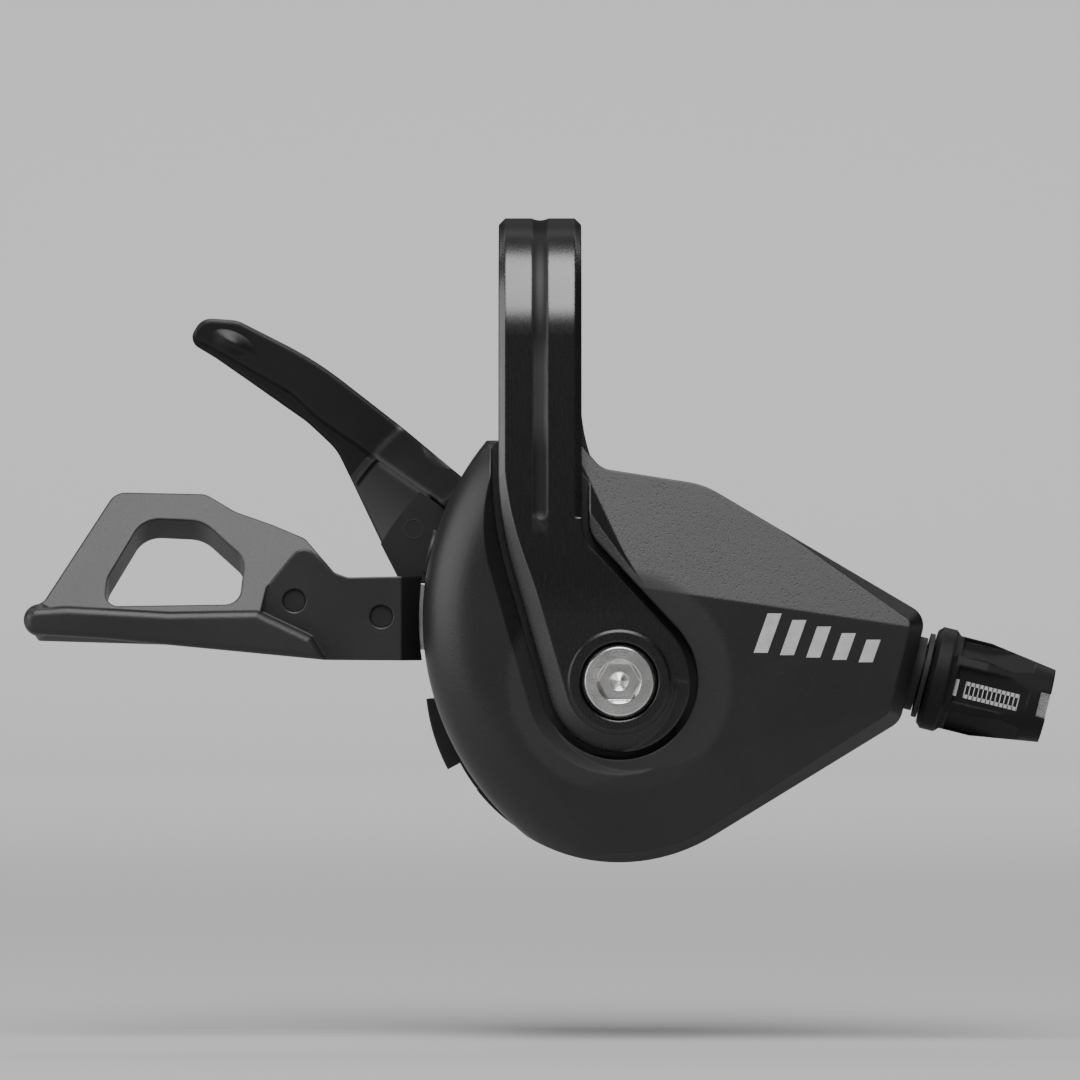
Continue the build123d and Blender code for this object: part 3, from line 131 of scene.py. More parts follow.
class Shader:
    """Node tree of one procedural material with a Principled surface."""

    def __init__(self, name: str) -> None:
        """Start a material with its surface, the place on the object and the way a face looks.

        Args:
            name: Material name.
        """
        self.material = bpy.data.materials.new(name)
        self.material.use_nodes = True
        self.tree = self.material.node_tree
        self.surface = self.tree.nodes["Principled BSDF"]
        self.place = self.node("ShaderNodeTexCoord", {}, {}, "Object")
        self.normal = self.node("ShaderNodeTexCoord", {}, {}, "Normal")

    def node(
        self, kind: str, settings: dict[str, Any], inputs: dict[Any, Any], output: int | str = 0
    ) -> Value:
        """Add any node.

        Args:
            kind: The node's type.
            settings: Its properties, set first.
            inputs: Values or links of its sockets.
            output: The output that is used.

        Returns:
            The chosen output.
        """
        made = self.tree.nodes.new(kind)
        for key, setting in settings.items():
            setattr(made, key, setting)
        for key, content in inputs.items():
            self.feed(made.inputs[key], content)
        return Value(self, made.outputs[output])

    def feed(self, socket: bpy.types.NodeSocket, content: Any) -> None:
        """Link a value to a socket, or set a constant on it.

        Args:
            socket: The socket that is fed.
            content: A value or a constant.
        """
        if isinstance(content, Value):
            self.tree.links.new(content.socket, socket)
        else:
            socket.default_value = content

    def part(self, vector: Value, axis: str) -> Value:
        """One part of a vector, X, Y or Z."""
        return self.node("ShaderNodeSeparateXYZ", {}, {"Vector": vector}, axis)

    def noise(self, size: float, detail: float, stretch: Point = (1.0, 1.0, 1.0)) -> Value:
        """Noise on object coordinates.

        Args:
            size: Grain size in metres.
            detail: Octaves.
            stretch: Scale along each axis.

        Returns:
            A value about the noise's middle.
        """
        spread = self.node("ShaderNodeMapping", {}, {"Vector": self.place, "Scale": stretch})
        return self.node(
            "ShaderNodeTexNoise", {}, {"Vector": spread, "Scale": 1 / size, "Detail": detail}, "Fac"
        )

    def edge(self, radius: float) -> tuple[Value, Value]:
        """Rounded normal and a mask of the edges.

        Args:
            radius: Edge radius in metres.

        Returns:
            The rounded normal, and a value that rises from 0 to 1 on edges.
        """
        rounded = self.node("ShaderNodeBevel", {"samples": EDGE_SAMPLES}, {"Radius": radius})
        plain = self.node("ShaderNodeNewGeometry", {}, {}, "Normal")
        likeness = self.node(
            "ShaderNodeVectorMath", {"operation": "DOT_PRODUCT"}, {0: rounded, 1: plain}, "Value"
        )
        return rounded, (1 - likeness).between(*EDGE_SPAN)

    def mix(self, factor: Any, first: Any, second: Any) -> Value:
        """Mix two colours by a factor."""
        inputs = {0: factor, MIX_FIRST: first, MIX_SECOND: second}
        return self.node("ShaderNodeMix", {"data_type": "RGBA"}, inputs, MIX_RESULT)

    def clouded(self, cloud: Value, tone: float, shades: Span, warmth: float = 0.0) -> Value:
        """Grey that wanders between two shades of a tone with a noise."""
        low, high = (grey(tone * shade, warmth) for shade in shades)
        return self.mix(cloud.between(*NOISE_SPAN), low, high)

    def bump(self, height: Value, depth: float, normal: Value | None = None) -> Value:
        """Relief over a normal.

        Args:
            height: Height from 0 to 1.
            depth: The relief's depth in metres.
            normal: The normal below it, where that isn't the plain one.

        Returns:
            The new normal.
        """
        inputs = {"Height": height, "Distance": depth, "Strength": 1.0}
        if normal is not None:
            inputs["Normal"] = normal
        return self.node("ShaderNodeBump", {}, inputs)

    def finish(self, **sockets: Any) -> bpy.types.Material:
        """Feed the surface.

        Args:
            sockets: Values or constants by socket name, with underscores for spaces.

        Returns:
            The finished material.
        """
        for name, content in sockets.items():
            self.feed(self.surface.inputs[name.replace("_", " ")], content)
        return self.material


class Finish(Protocol):
    """Anything that can make a material."""

    def material(self) -> bpy.types.Material:
        """The finish as a material."""


@dataclass(frozen=True)
class MouldedResin:
    """Matte black resin: spark-eroded grain and pits, faint flow mottling, paler rubbed edges.

    Round hollow_at, an X and a Z in metres, the resin is duller.
    """

    name: str
    tone: float
    edge_tone: float
    roughness: float
    sheen: float = 0.45
    edge_radius: float = 0.35 * MM
    relief: float = 0.012 * MM
    grain: float = 0.16 * MM
    grain_gloss: float = 0.10
    flow: float = 9 * MM
    flow_shades: Span = (0.9, 1.12)
    flow_gloss: float = 0.06
    scuff: float = 0.7 * MM
    scuff_span: Span = (0.35, 0.65)
    speckle: float = 0.0
    pit: float = 0.3 * MM
    pit_span: Span = (0.6, 0.72)
    pit_shade: float = 0.35
    pit_depth: float = 0.8
    hollow_at: Span | None = None
    hollow_rim: Span = (10.825 * MM, 12.5 * MM)
    hollow_gloss: float = 0.25

    def hollow(self, shader: Shader) -> Value:
        """Mask of the dull hollow, by the squared distance from its middle.

        Args:
            shader: The material that gets it.

        Returns:
            A value that is 1 inside the hollow and falls to 0 over its rim.
        """
        across = shader.part(shader.place, "X") - self.hollow_at[0]
        up = shader.part(shader.place, "Z") - self.hollow_at[1]
        inner, outer = self.hollow_rim
        return 1 - (across * across + up * up).between(inner**2, outer**2)

    def material(self) -> bpy.types.Material:
        """Grain bump over rounded edges, two-tone base, uneven gloss.

        Returns:
            The resin.
        """
        shader = Shader(self.name)
        rounded, edge = shader.edge(self.edge_radius)
        grain = shader.noise(self.grain, detail=3.0)
        flow = shader.noise(self.flow, detail=2.0)
        scuff = shader.noise(self.scuff, detail=4.0).between(*self.scuff_span)
        pit = shader.noise(self.pit, detail=1.0).between(*self.pit_span)
        body = shader.clouded(flow, self.tone, self.flow_shades)
        body = shader.mix(pit * self.speckle, body, grey(self.tone * self.pit_shade))
        body = shader.mix(edge * scuff, body, grey(self.edge_tone))
        gloss = self.roughness + grain.swing(self.grain_gloss) + flow.swing(self.flow_gloss)
        if self.hollow_at is not None:
            gloss = gloss + self.hollow_gloss * self.hollow(shader)
        height = grain - pit * (self.pit_depth * self.speckle)
        return shader.finish(
            Base_Color=body,
            Roughness=gloss,
            Normal=shader.bump(height, self.relief, rounded),
            Specular_IOR_Level=self.sheen,
        )


@dataclass(frozen=True)
class AnodisedMetal:
    """Black anodised metal: satin blast, faint brushing along Z, edges painted lighter as a soft highlight.
    """

    name: str
    tone: float
    roughness: float
    metallic: float = 0.9
    edge_radius: float = 0.35 * MM
    edge_gain: float = 1.8
    edge_share: float = 0.5
    relief: float = 0.004 * MM
    blast: float = 0.09 * MM
    blast_gloss: float = 0.05
    brush: float = 0.5 * MM
    brush_stretch: Point = (4.0, 4.0, 0.15)
    brush_gloss: float = 0.08
    brush_depth: float = 0.5
    cloud: float = 7 * MM
    cloud_shades: Span = (0.92, 1.1)

    def coat(self, shader: Shader) -> tuple[Value, Value, Value]:
        """The plain coat.

        Args:
            shader: The material that gets it.

        Returns:
            Colour, roughness and normal.
        """
        rounded, edge = shader.edge(self.edge_radius)
        blast = shader.noise(self.blast, detail=2.0)
        brush = shader.noise(self.brush, detail=3.0, stretch=self.brush_stretch)
        cloud = shader.noise(self.cloud, detail=2.0)
        body = shader.clouded(cloud, self.tone, self.cloud_shades)
        # Painted highlight: the edges are painted lighter.
        body = shader.mix(edge * self.edge_share, body, grey(self.tone * self.edge_gain))
        gloss = self.roughness + brush.swing(self.brush_gloss) + blast.swing(self.blast_gloss)
        return body, gloss, shader.bump(blast + brush * self.brush_depth, self.relief, rounded)

    def material(self) -> bpy.types.Material:
        """Dark metal in the plain coat.

        Returns:
            The metal.
        """
        shader = Shader(self.name)
        body, gloss, normal = self.coat(shader)
        return shader.finish(Base_Color=body, Metallic=self.metallic, Roughness=gloss, Normal=normal)


@dataclass(frozen=True)
class BandMetal(AnodisedMetal):
    """The clamp band's coat, with painted shade: flat front faces, ledges, the eye, the crown and the groove
    at X = 0 are painted darker, the groove except in a middle window; groove and crown are also rougher.

    Each place on the band is a span over which a mask rises, in metres along X or Z. The spans flat and ledge
    are of the normal: its squared Y and its Z.
    """

    flat: Span = (0.9, 0.99)
    ledge: Span = (0.2, 0.5)
    painted_face_shade: float = 0.6
    eye_side: Span = (7 * MM, 10 * MM)
    eye_foot: Span = (-42 * MM, -38 * MM)
    arm_top: Span = (-16 * MM, -12 * MM)
    crown: Span = (11 * MM, 13 * MM)
    painted_crown_shade: float = 0.1
    crown_gloss: float = 0.3
    groove: float = 0.95 * MM
    groove_core: float = 0.3
    painted_groove_shade: float = 0.3
    groove_gloss: float = 0.2
    groove_foot: Span = (-20.4 * MM, -19.2 * MM)
    gleam_foot: Span = (-12 * MM, -7 * MM)
    gleam_top: Span = (-3 * MM, 2 * MM)

    def material(self) -> bpy.types.Material:
        """The plain coat with painted shade, darker by the place on the band and by the way a face points.

        Returns:
            The band's metal.
        """
        shader = Shader(self.name)
        body, gloss, normal = self.coat(shader)
        across, up = shader.part(shader.place, "X"), shader.part(shader.place, "Z")
        facing, rising = shader.part(shader.normal, "Y"), shader.part(shader.normal, "Z")
        # Painted shade: flat front faces, up-facing ledges below the arm's top, the side of the eye and all
        # below the eye's foot are painted darker.
        ledge = rising.between(*self.ledge) * (1 - up.between(*self.arm_top))
        flank = (1 - (facing * facing).between(*self.flat)) * (1 - ledge)
        flank = flank * (1 - across.between(*self.eye_side)) * up.between(*self.eye_foot)
        body = shader.mix(flank, grey(self.tone * self.painted_face_shade), body)
        half = self.groove**2
        inside = 1 - (across * across).between(self.groove_core * half, half)
        inside = inside * up.between(*self.groove_foot)
        gleam = up.between(*self.gleam_foot) * (1 - up.between(*self.gleam_top))
        crown = up.between(*self.crown)
        # Painted shade: the groove is painted darker except in its middle window, where its plain tone reads
        # as a gleam.
        body = shader.mix(inside * (1 - gleam), body, grey(self.tone * self.painted_groove_shade))
        # Painted shade: the crown on top of the band is painted darker.
        body = shader.mix(crown, body, grey(self.tone * self.painted_crown_shade))
        gloss = gloss + self.groove_gloss * inside + self.crown_gloss * crown
        return shader.finish(Base_Color=body, Metallic=self.metallic, Roughness=gloss, Normal=normal)


@dataclass(frozen=True)
class BareMetal:
    """Bare or plated metal: cloudy plating, fine scratches, brighter edges.

    Below its edge span along X, in metres, the metal is painted black as shade: dark, duller and not
    metallic.
    """

    name: str
    tone: float
    roughness: float
    warmth: float = 0.0
    edge_radius: float = 0.12 * MM
    edge_gain: float = 1.3
    edge_share: float = 0.6
    brightest: float = 0.9
    relief: float = 0.006 * MM
    cloud: float = 2.2 * MM
    cloud_shades: Span = (0.8, 1.0)
    cloud_gloss: float = 0.16
    scratch: float = 0.3 * MM
    scratch_stretch: Point = (1.0, 1.0, 6.0)
    scratch_gloss: float = 0.10
    painted_shade_edge: Span | None = None
    painted_shade_tone: float = 0.004
    dark_part_gloss: float = 0.35

    def material(self) -> bpy.types.Material:
        """Clouded gloss, scratches and brighter edges, with or without a part painted black as shade.

        Returns:
            The metal.
        """
        shader = Shader(self.name)
        rounded, edge = shader.edge(self.edge_radius)
        cloud = shader.noise(self.cloud, detail=3.0)
        scratch = shader.noise(self.scratch, detail=4.0, stretch=self.scratch_stretch)
        rubbed = grey(min(self.brightest, self.tone * self.edge_gain), self.warmth)
        body = shader.clouded(cloud, self.tone, self.cloud_shades, self.warmth)
        body = shader.mix(edge * self.edge_share, body, rubbed)
        gloss = self.roughness + cloud.swing(self.cloud_gloss) + scratch.swing(self.scratch_gloss)
        unshaded: Any = 1.0
        # Painted shade: below the edge span the metal is painted black, not metallic and duller.
        if self.painted_shade_edge is not None:
            unshaded = shader.part(shader.place, "X").between(*self.painted_shade_edge)
            body = shader.mix(unshaded, grey(self.painted_shade_tone), body)
            gloss = gloss + self.dark_part_gloss * (1 - unshaded)
        return shader.finish(
            Base_Color=body,
            Metallic=unshaded,
            Roughness=gloss,
            Normal=shader.bump(scratch, self.relief, rounded),
        )


@dataclass(frozen=True)
class PrintedInk:
    """Pale pad-printed ink, slightly thin and uneven."""

    name: str
    tone: float
    roughness: float = 0.45
    relief: float = 0.004 * MM
    hole: float = 0.12 * MM
    hole_span: Span = (0.66, 0.78)
    hole_shade: float = 0.3
    hole_gloss: float = 0.15
    cloud: float = 1.5 * MM
    cloud_shades: Span = (0.85, 1.0)

    def material(self) -> bpy.types.Material:
        """Light grey ink with pinholes and a soft sheen.

        Returns:
            The ink.
        """
        shader = Shader(self.name)
        holes = shader.noise(self.hole, detail=2.0)
        cloud = shader.noise(self.cloud, detail=2.0)
        ink = shader.clouded(cloud, self.tone, self.cloud_shades)
        ink = shader.mix(holes.between(*self.hole_span), ink, grey(self.tone * self.hole_shade))
        return shader.finish(
            Base_Color=ink,
            Roughness=self.roughness + self.hole_gloss * holes,
            Normal=shader.bump(holes, self.relief),
        )


@dataclass(frozen=True)
class StudioPaper:
    """Plain pale paper of the studio sweep."""

    name: str
    tone: float
    roughness: float = 0.8
    warmth: float = 0.004
    tooth: float = 1.2 * MM
    tooth_shade: float = 0.985
    tooth_gloss: float = 0.1

    def material(self) -> bpy.types.Material:
        """Pale matte paper with a faint tooth.

        Returns:
            The paper.
        """
        shader = Shader(self.name)
        tooth = shader.noise(self.tooth, detail=3.0)
        low, high = grey(self.tone * self.tooth_shade, self.warmth), grey(self.tone, self.warmth)
        return shader.finish(
            Base_Color=shader.mix(tooth, low, high), Roughness=self.roughness + self.tooth_gloss * tooth
        )


class Coat(Enum):
    """The object's finishes by the place they are used."""

    COVER = MouldedResin(
        "cover_resin",
        tone=0.006,
        edge_tone=0.02,
        roughness=0.40,
        sheen=0.5,
        speckle=0.8,
        hollow_at=(AXLE[0] * MM, AXLE[1] * MM),
    )
    HOUSING = MouldedResin("housing_resin", tone=0.005, edge_tone=0.018, roughness=0.5)
    PADDLE = MouldedResin(
        "paddle_resin", tone=0.012, edge_tone=0.03, roughness=0.42, grain=0.3 * MM, relief=0.02 * MM
    )
    TRIGGER = MouldedResin(
        "trigger_resin",
        tone=0.006,
        edge_tone=0.010,
        roughness=0.36,
        sheen=0.3,
        edge_radius=0.9 * MM,
        grain=0.2 * MM,
    )
    TIP = MouldedResin(
        "tip_resin",
        tone=0.006,
        edge_tone=0.006,
        roughness=0.36,
        sheen=0.3,
        edge_radius=0.02 * MM,
        grain=0.2 * MM,
    )
    KNOB = MouldedResin(
        "knob_resin", tone=0.008, edge_tone=0.025, roughness=0.52, sheen=0.15, grain=0.22 * MM
    )
    REEL = MouldedResin("reel_resin", tone=0.2, edge_tone=0.26, roughness=0.4)
    BAND = BandMetal("band_anodised", tone=0.078, roughness=0.27)
    BLACKENED = AnodisedMetal(
        "blackened_steel", tone=0.016, roughness=0.42, metallic=0.35, edge_radius=0.05 * MM
    )
    NECK = AnodisedMetal("neck_black", tone=0.004, roughness=0.65, metallic=0.0, edge_radius=0.05 * MM)
    ZINC = BareMetal("zinc_plate", tone=0.8, roughness=0.22, warmth=0.01)
    TURNED = BareMetal("turned_steel", tone=0.45, roughness=0.32)
    STAMPED = BareMetal("stamped_steel", tone=0.5, roughness=0.36)
    SPRING = BareMetal("spring_steel", tone=0.42, roughness=0.3, warmth=0.02)
    # Painted shade: below X = 45 mm the screw is painted black where it sits in the neck.
    BRIGHT = BareMetal(
        "bright_aluminium", tone=0.72, roughness=0.28, painted_shade_edge=(45 * MM, 46 * MM)
    )
    INK = PrintedInk("print_ink", tone=0.42)
    PAPER = StudioPaper("studio_paper", tone=0.42)


class Paint:
    """Makes each finish once and lays it on objects."""

    def __init__(self) -> None:
        """Start with no finish made."""
        self.made: dict[Coat, bpy.types.Material] = {}

    def lay(self, piece: bpy.types.Object, coat: Coat) -> None:
        """Give a piece one finish in its only slot.

        Args:
            piece: The piece.
            coat: Its finish.
        """
        if coat not in self.made:
            finish: Finish = coat.value
            self.made[coat] = finish.material()
        piece.data.materials.clear()
        piece.data.materials.append(self.made[coat])

    def nodes(self, names: Iterable[str], coat: Coat) -> None:
        """Give CAD nodes one finish.

        Args:
            names: The nodes.
            coat: Their finish.
        """
        for name in names:
            self.lay(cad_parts[name], coat)
            LOG.info("%s: %s", name, coat.name.lower())


def new_piece(name: str, points: np.ndarray, faces: np.ndarray, smooth: bool) -> bpy.types.Object:
    """Put a computed surface into the scene.

    Args:
        name: Piece name.
        points: Corners in metres, one row each.
        faces: Corner numbers, one row for each face.
        smooth: Whether faces shade smoothly.

    Returns:
        The piece, at the origin.
    """
    mesh = bpy.data.meshes.new(name)
    mesh.from_pydata(points.tolist(), [], faces.tolist())
    mesh.polygons.foreach_set("use_smooth", np.full(len(mesh.polygons), smooth))
    mesh.update()
    piece = bpy.data.objects.new(name, mesh)
    bpy.context.scene.collection.objects.link(piece)
    return piece


def grid_faces(rows: int, columns: int, wrap_rows: bool, wrap_columns: bool) -> np.ndarray:
    """Quads of a grid of corners, numbered row by row.

    Args:
        rows: Corner rows.
        columns: Corners in a row.
        wrap_rows: Whether the last row joins the first.
        wrap_columns: Whether the last column joins the first.

    Returns:
        One row of four corner numbers for each quad.
    """
    u = np.arange(rows if wrap_rows else rows - 1)
    v = np.arange(columns if wrap_columns else columns - 1)
    u, v = np.meshgrid(u, v, indexing="ij")
    below = (u + 1) % rows
    right = (v + 1) % columns
    corners = [u * columns + v, u * columns + right, below * columns + right, below * columns + v]
    return np.stack(corners, axis=-1).reshape(-1, 4)


def lens(front: np.ndarray, back: np.ndarray) -> tuple[np.ndarray, np.ndarray]:
    """Close two sheets into one skin: their rims lie on each other, and each sheet shades on its own.

    Args:
        front: Grid of corners of the sheet that is seen.
        back: Grid of the same size behind it, with the same rim.

    Returns:
        Corners, and quads that point outwards.
    """
    rows, columns = front.shape[:2]
    quads = grid_faces(rows, columns, wrap_rows=False, wrap_columns=False)
    points = np.concatenate([front.reshape(-1, 3), back.reshape(-1, 3)])
    return points, np.concatenate([quads[:, ::-1], quads + rows * columns])


def printed(name: str, outlines: np.ndarray) -> bpy.types.Object:
    """Ink patches seen from the front: each outline is repeated a film before and behind itself.

    Args:
        name: Piece name.
        outlines: Four corners in metres for each patch.

    Returns:
        The patches as one piece of thin boxes.
    """
    points = np.repeat(outlines[:, None], 2, axis=1)
    points[..., 1] += np.array([-FILM, FILM])[None, :, None]
    patch = np.arange(len(outlines))[:, None, None]
    faces = (BOX_QUADS[None] + BOX_CORNERS * patch).reshape(-1, 4)
    return new_piece(name, points.reshape(-1, 3), faces, smooth=False)


@dataclass
class Clamp:
    """Band, bolt, nut and axle that hold the shifter on the bar."""

    paint: Paint

    def dress(self) -> None:
        """Satin black band, plated bolt and nut, turned axle."""
        self.paint.nodes(["clamp_band"], Coat.BAND)
        self.paint.nodes(["clamp_bolt", "axle_nut"], Coat.ZINC)
        self.paint.nodes(["main_axle"], Coat.TURNED)


@dataclass
class Housing:
    """Front cover, rear shell and their small pieces. Sizes in millimetres."""

    paint: Paint
    face: float = -15.0
    mark_left: float = 22.8
    mark_foot: float = -32.9
    mark_step: float = 2.8
    mark_width: float = 1.5
    mark_lean: float = 1.5
    mark_slope: float = -0.09
    mark_heights: tuple[float, ...] = (4.2, 3.75, 3.3, 2.85, 2.4)

    def dress(self) -> None:
        """Grained resin outside, plated screws behind."""
        self.paint.nodes(["front_cover"], Coat.COVER)
        self.paint.nodes(["rear_housing", "cable_hole_cap"], Coat.HOUSING)
        self.paint.nodes(["cover_screw_1", "cover_screw_2"], Coat.ZINC)

    def mark(self) -> bpy.types.Object:
        """Row of slanted printed bars on the flat face, each a parallelogram of its own height.

        Returns:
            The bars as one piece.
        """
        number = np.arange(len(self.mark_heights))
        left = self.mark_left + self.mark_step * number
        foot = self.mark_foot + self.mark_slope * self.mark_step * number
        height = np.array(self.mark_heights)
        lean = self.mark_lean * height / height.max()
        x = np.stack([left, left + self.mark_width, left + self.mark_width + lean, left + lean], axis=1)
        z = np.stack([foot, foot, foot + height, foot + height], axis=1)
        front = np.stack([x, np.full_like(x, self.face), z], axis=-1)
        piece = printed("printed_bars", front * MM)
        self.paint.lay(piece, Coat.INK)
        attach(piece, "shifter_body")
        return piece


@dataclass
class Levers:
    """Thumb paddle and finger trigger with their plates and rivets. Sizes in millimetres."""

    paint: Paint
    rivet_at: Span = (-13.7, -19.7)
    # Painted shade: a dark ring over the gap round the trigger's rivet.
    rivet_front: float = 2.9
    gap_shade: Span = (0.93, 1.12)
    gap_shade_steps: int = 64
    pad_front: float = 11.7
    swell_at: Span = (-33.5, 0.55)
    swell_size: Span = (3.0, 1.5)
    swell_rise: float = 0.6
    swell_root: float = 0.3
    swell_tilt: float = -26.0
    swell_steps: int = 33

    def dress(self) -> None:
        """Satin resin, a bare plate under the paddle, a blackened one under the trigger."""
        self.paint.nodes(["main_lever_paddle"], Coat.PADDLE)
        self.paint.nodes(["release_trigger"], Coat.TRIGGER)
        self.paint.nodes(["main_lever_plate"], Coat.STAMPED)
        self.paint.nodes(["release_lever_plate"], Coat.BLACKENED)
        rivets = ["main_lever_rivet_1", "main_lever_rivet_2", "trigger_rivet_1", "trigger_rivet_2"]
        self.paint.nodes(rivets, Coat.BLACKENED)

    def rivet_gap_shade(self) -> bpy.types.Object:
        """Painted shade: a dark ring laid over the gap between the trigger's rivet and its plate.

        A thin upright section of four corners is turned about the rivet.

        Returns:
            The ring, riding on the release lever.
        """
        turn = np.linspace(0, 2 * math.pi, self.gap_shade_steps, endpoint=False)[:, None]
        radius = np.repeat(self.gap_shade, 2)[None] * MM
        depth = self.rivet_front * MM + np.array([[FILM, -FILM, -FILM, FILM]])
        x = self.rivet_at[0] * MM + radius * np.cos(turn)
        z = self.rivet_at[1] * MM + radius * np.sin(turn)
        points = np.stack(np.broadcast_arrays(x, depth, z), axis=-1)
        faces = grid_faces(self.gap_shade_steps, depth.size, wrap_rows=True, wrap_columns=True)
        piece = new_piece("rivet_gap_shade", points.reshape(-1, 3), faces, smooth=False)
        self.paint.lay(piece, Coat.NECK)
        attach(piece, "release_lever")
        return piece

    def tip_swell(self) -> bpy.types.Object:
        """Soft swell at the trigger's tip.

        A square grid is drawn onto an ellipse on the pad's front, and the height falls off as a squared
        cosine, so that the swell runs out flat into the pad. A shallower copy inside the pad closes it.

        Returns:
            The swell, riding on the release lever.
        """
        side = np.linspace(-1, 1, self.swell_steps)
        u, v = np.meshgrid(side, side, indexing="ij")
        along, across = u * np.sqrt(1 - v**2 / 2), v * np.sqrt(1 - u**2 / 2)
        rise = self.swell_rise * np.cos(np.minimum(np.hypot(along, across), 1) * math.pi / 2) ** 2
        along, across = along * self.swell_size[0], across * self.swell_size[1]
        tilt = math.radians(self.swell_tilt)
        x = self.swell_at[0] + along * math.cos(tilt) - across * math.sin(tilt)
        z = self.swell_at[1] + along * math.sin(tilt) + across * math.cos(tilt)
        rim = self.pad_front + FILM / MM
        front = np.stack([x, rim - rise, z], axis=-1) * MM
        root = np.stack([x, rim + rise * self.swell_root, z], axis=-1) * MM
        points, faces = lens(front, root)
        piece = new_piece("trigger_tip_swell", points, faces, smooth=True)
        self.paint.lay(piece, Coat.TIP)
        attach(piece, "release_lever")
        return piece


@dataclass
class Indexer:
    """Drum, pawls, plates and springs inside the housing."""

    paint: Paint

    def dress(self) -> None:
        """Stamped steel, turned pins, drawn springs and a pale reel."""
        self.paint.nodes(["cable_reel"], Coat.REEL)
        stamped = ["front_plate", "base_plate", "ratchet_wheel", "feed_pawl", "holding_pawl"]
        self.paint.nodes(stamped, Coat.STAMPED)
        pins = ["feed_pawl_pin", "holding_pawl_pin", "pillar_1", "pillar_2", "pillar_3"]
        self.paint.nodes(pins, Coat.TURNED)
        springs = ["reel_spring", "lever_spring", "release_spring", "feed_pawl_spring"]
        self.paint.nodes([*springs, "holding_pawl_spring"], Coat.SPRING)


@dataclass
class Adjuster:
    """Cable adjuster: knob, screw, sleeve and detent ring on the cable's line. Sizes in millimetres."""

    paint: Paint
    depth: float = -6.6
    tilt: float = 14.0
    above: float = 8.45
    panel: float = 4.2
    scale_start: float = 36.2
    scale_end: float = 42.0
    scale_foot: float = -1.3
    scale_top: float = 0.5
    tick_start: float = 35.0
    line: float = 0.4
    rungs: int = 13
    rung_half: float = 0.4 / 7

    def dress(self) -> None:
        """Satin knob, bright screw whose inner part is painted black as shade, dark neck."""
        self.paint.nodes(["adjuster_knob"], Coat.KNOB)
        self.paint.nodes(["adjuster_bolt"], Coat.BRIGHT)
        self.paint.nodes(["adjuster_insert", "detent_ring"], Coat.NECK)

    def on_panel(self, along: np.ndarray, above: np.ndarray) -> np.ndarray:
        """Places on the knob's front panel, turned by the tilt of the cable's line about the main axle.

        Args:
            along: Distance from the axle along the cable's line.
            above: Height above that line.

        Returns:
            Points in metres.
        """
        tilt = math.radians(self.tilt)
        up = self.above + above
        x = AXLE[0] + along * math.cos(tilt) + up * math.sin(tilt)
        z = AXLE[1] - along * math.sin(tilt) + up * math.cos(tilt)
        y = np.full_like(x, self.depth - self.panel)
        return np.stack([x, y, z], axis=-1) * MM

    def scale(self) -> bpy.types.Object:
        """Printed scale on the knob's front panel: two rails, thin rungs and a tick, each a rectangle.

        Returns:
            The print, riding on the knob.
        """
        rung = np.linspace(self.scale_start, self.scale_end, self.rungs)
        thick_starts = [self.scale_start, self.scale_start, self.tick_start]
        thick_ends = [self.scale_end, self.scale_end, self.tick_start + self.line]
        starts = np.concatenate([thick_starts, rung - self.rung_half])
        ends = np.concatenate([thick_ends, rung + self.rung_half])
        feet = np.full(len(starts), self.scale_foot)
        tops = np.full(len(starts), self.scale_top)
        feet[0] = self.scale_top - self.line
        tops[1] = self.scale_foot + self.line
        along = np.stack([starts, ends, ends, starts], axis=1)
        above = np.stack([feet, feet, tops, tops], axis=1)
        piece = printed("printed_scale", self.on_panel(along, above))
        self.paint.lay(piece, Coat.INK)
        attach(piece, "adjuster_knob")
        return piece


@dataclass(frozen=True)
class Lamp:
    """A soft rectangular lamp: its place and size in metres, its watts and the point it faces."""

    name: str
    place: Point
    size: Span
    power: float
    aim: Point = (0.0, 0.0, -0.025)

    def hang(self) -> None:
        """Put the lamp into the scene, facing its aim."""
        data = bpy.data.lights.new(self.name, "AREA")
        data.shape = "RECTANGLE"
        data.size, data.size_y = self.size
        data.energy = self.power
        lamp = bpy.data.objects.new(self.name, data)
        lamp.location = self.place
        gaze = Vector(self.aim) - Vector(self.place)
        lamp.rotation_euler = gaze.to_track_quat("-Z", "Y").to_euler()
        bpy.context.scene.collection.objects.link(lamp)


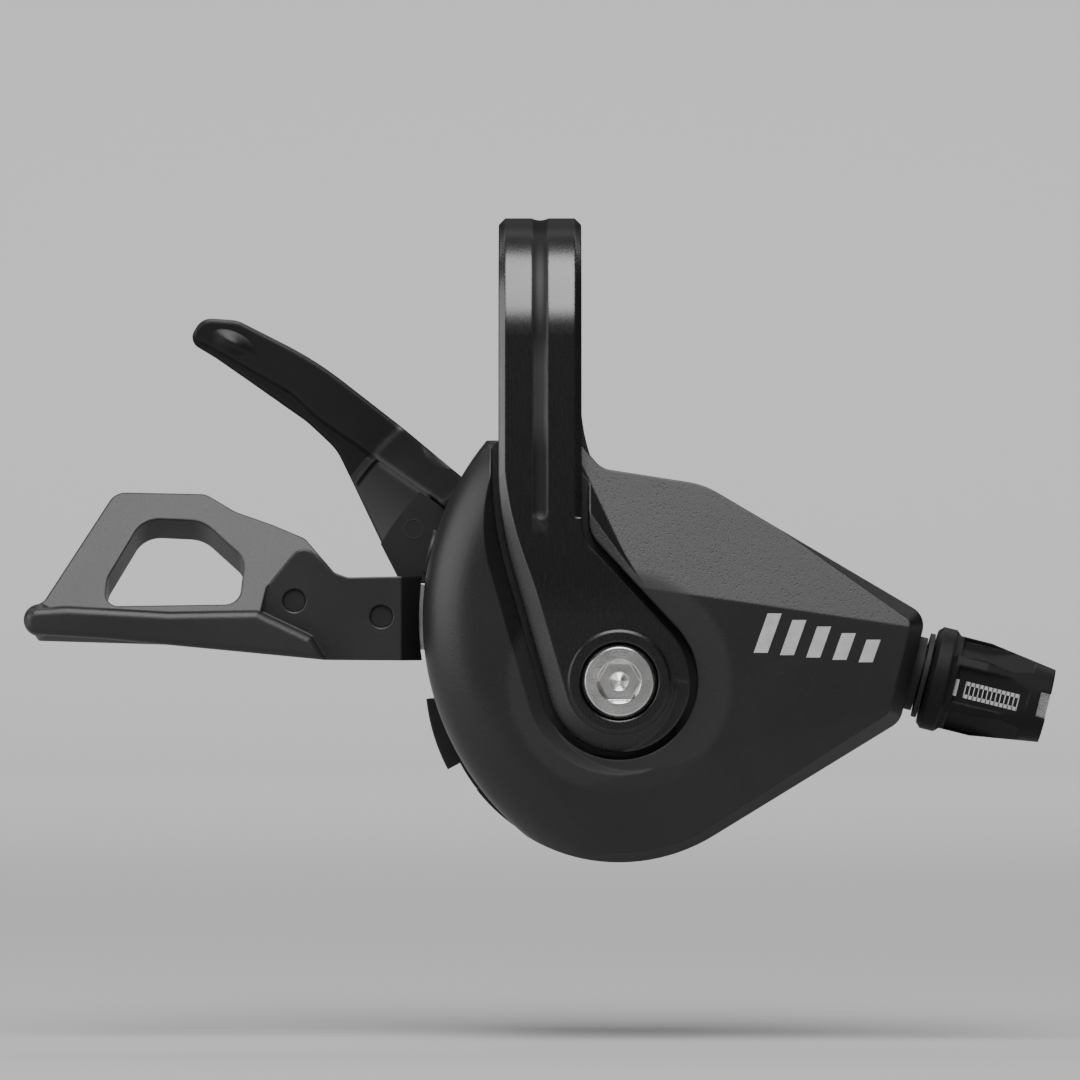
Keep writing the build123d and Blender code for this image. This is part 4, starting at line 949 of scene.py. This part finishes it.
@dataclass
class Studio:
    """Pale sweep, soft lamps and the camera of the front view. Sizes in metres, the sensor in millimetres."""

    paint: Paint
    floor: float = -0.0745
    front: float = -1.7
    back: float = 1.45
    half_width: float = 2.0
    columns: int = 9
    curve_radius: float = 0.3
    curve_steps: int = 24
    distance: float = 1.2
    scale_plane: float = -0.012
    sensor: float = 36.0
    origin_row: float = 345.0
    surround_tone: float = 0.55
    surround_strength: float = 0.05
    lamps: tuple[Lamp, ...] = (
        Lamp("key_lamp", (0.0, -0.425, 0.685), (0.55, 0.95), 12.5),
        Lamp("left_lamp", (-0.7, -0.2, 0.12), (0.9, 0.7), 5.5),
        Lamp("back_lamp", (0.0, 1.1, 1.0), (2.4, 0.9), 32.0, (0.0, 1.7, 0.1)),
    )

    def sweep(self) -> bpy.types.Object:
        """Floor that curves up into a low backdrop.

        A profile of floor line and quarter circle is carried along X.

        Returns:
            The sweep.
        """
        bend = np.linspace(0, math.pi / 2, self.curve_steps)
        y = np.concatenate([[self.front], self.back + self.curve_radius * np.sin(bend)])
        z = np.concatenate([[0.0], self.curve_radius * (1 - np.cos(bend))]) + self.floor
        x = np.linspace(-self.half_width, self.half_width, self.columns)
        points = np.stack(np.broadcast_arrays(x[None, :], y[:, None], z[:, None]), axis=-1)
        faces = grid_faces(len(y), len(x), wrap_rows=False, wrap_columns=False)
        piece = new_piece("studio_sweep", points.reshape(-1, 3), faces, smooth=True)
        self.paint.lay(piece, Coat.PAPER)
        return piece

    def light(self) -> None:
        """Wide soft key overhead, a strip on the left, a lit backdrop and a dim grey surround."""
        for lamp in self.lamps:
            lamp.hang()
        world = bpy.data.worlds.new("studio")
        world.use_nodes = True
        surround = world.node_tree.nodes["Background"]
        surround.inputs["Color"].default_value = grey(self.surround_tone)
        surround.inputs["Strength"].default_value = self.surround_strength
        bpy.context.scene.world = world

    def camera(self) -> None:
        """Long lens straight at the front, framed as the picture is, true to scale in one plane."""
        data = bpy.data.cameras.new("front_camera")
        data.sensor_width = self.sensor
        data.sensor_fit = "HORIZONTAL"
        data.lens = self.sensor * self.distance / (IMAGE_SIDE * PIXEL)
        camera = bpy.data.objects.new("front_camera", data)
        middle = (self.origin_row - IMAGE_SIDE / 2) * PIXEL
        camera.location = (0.0, self.scale_plane - self.distance, middle)
        camera.rotation_euler = (math.pi / 2, 0.0, 0.0)
        bpy.context.scene.collection.objects.link(camera)
        bpy.context.scene.camera = camera


def main() -> None:
    """Build and dress the shifter, then the studio."""
    logging.basicConfig(level=logging.INFO)
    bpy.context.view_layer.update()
    paint = Paint()
    Clamp(paint).dress()
    housing = Housing(paint)
    housing.dress()
    LOG.info("made %s", housing.mark().name)
    levers = Levers(paint)
    levers.dress()
    LOG.info("made %s", levers.rivet_gap_shade().name)
    LOG.info("made %s", levers.tip_swell().name)
    Indexer(paint).dress()
    adjuster = Adjuster(paint)
    adjuster.dress()
    LOG.info("made %s", adjuster.scale().name)
    studio = Studio(paint)
    studio.camera()
    LOG.info("made %s", studio.sweep().name)
    studio.light()


if __name__ == "__main__":
    main()
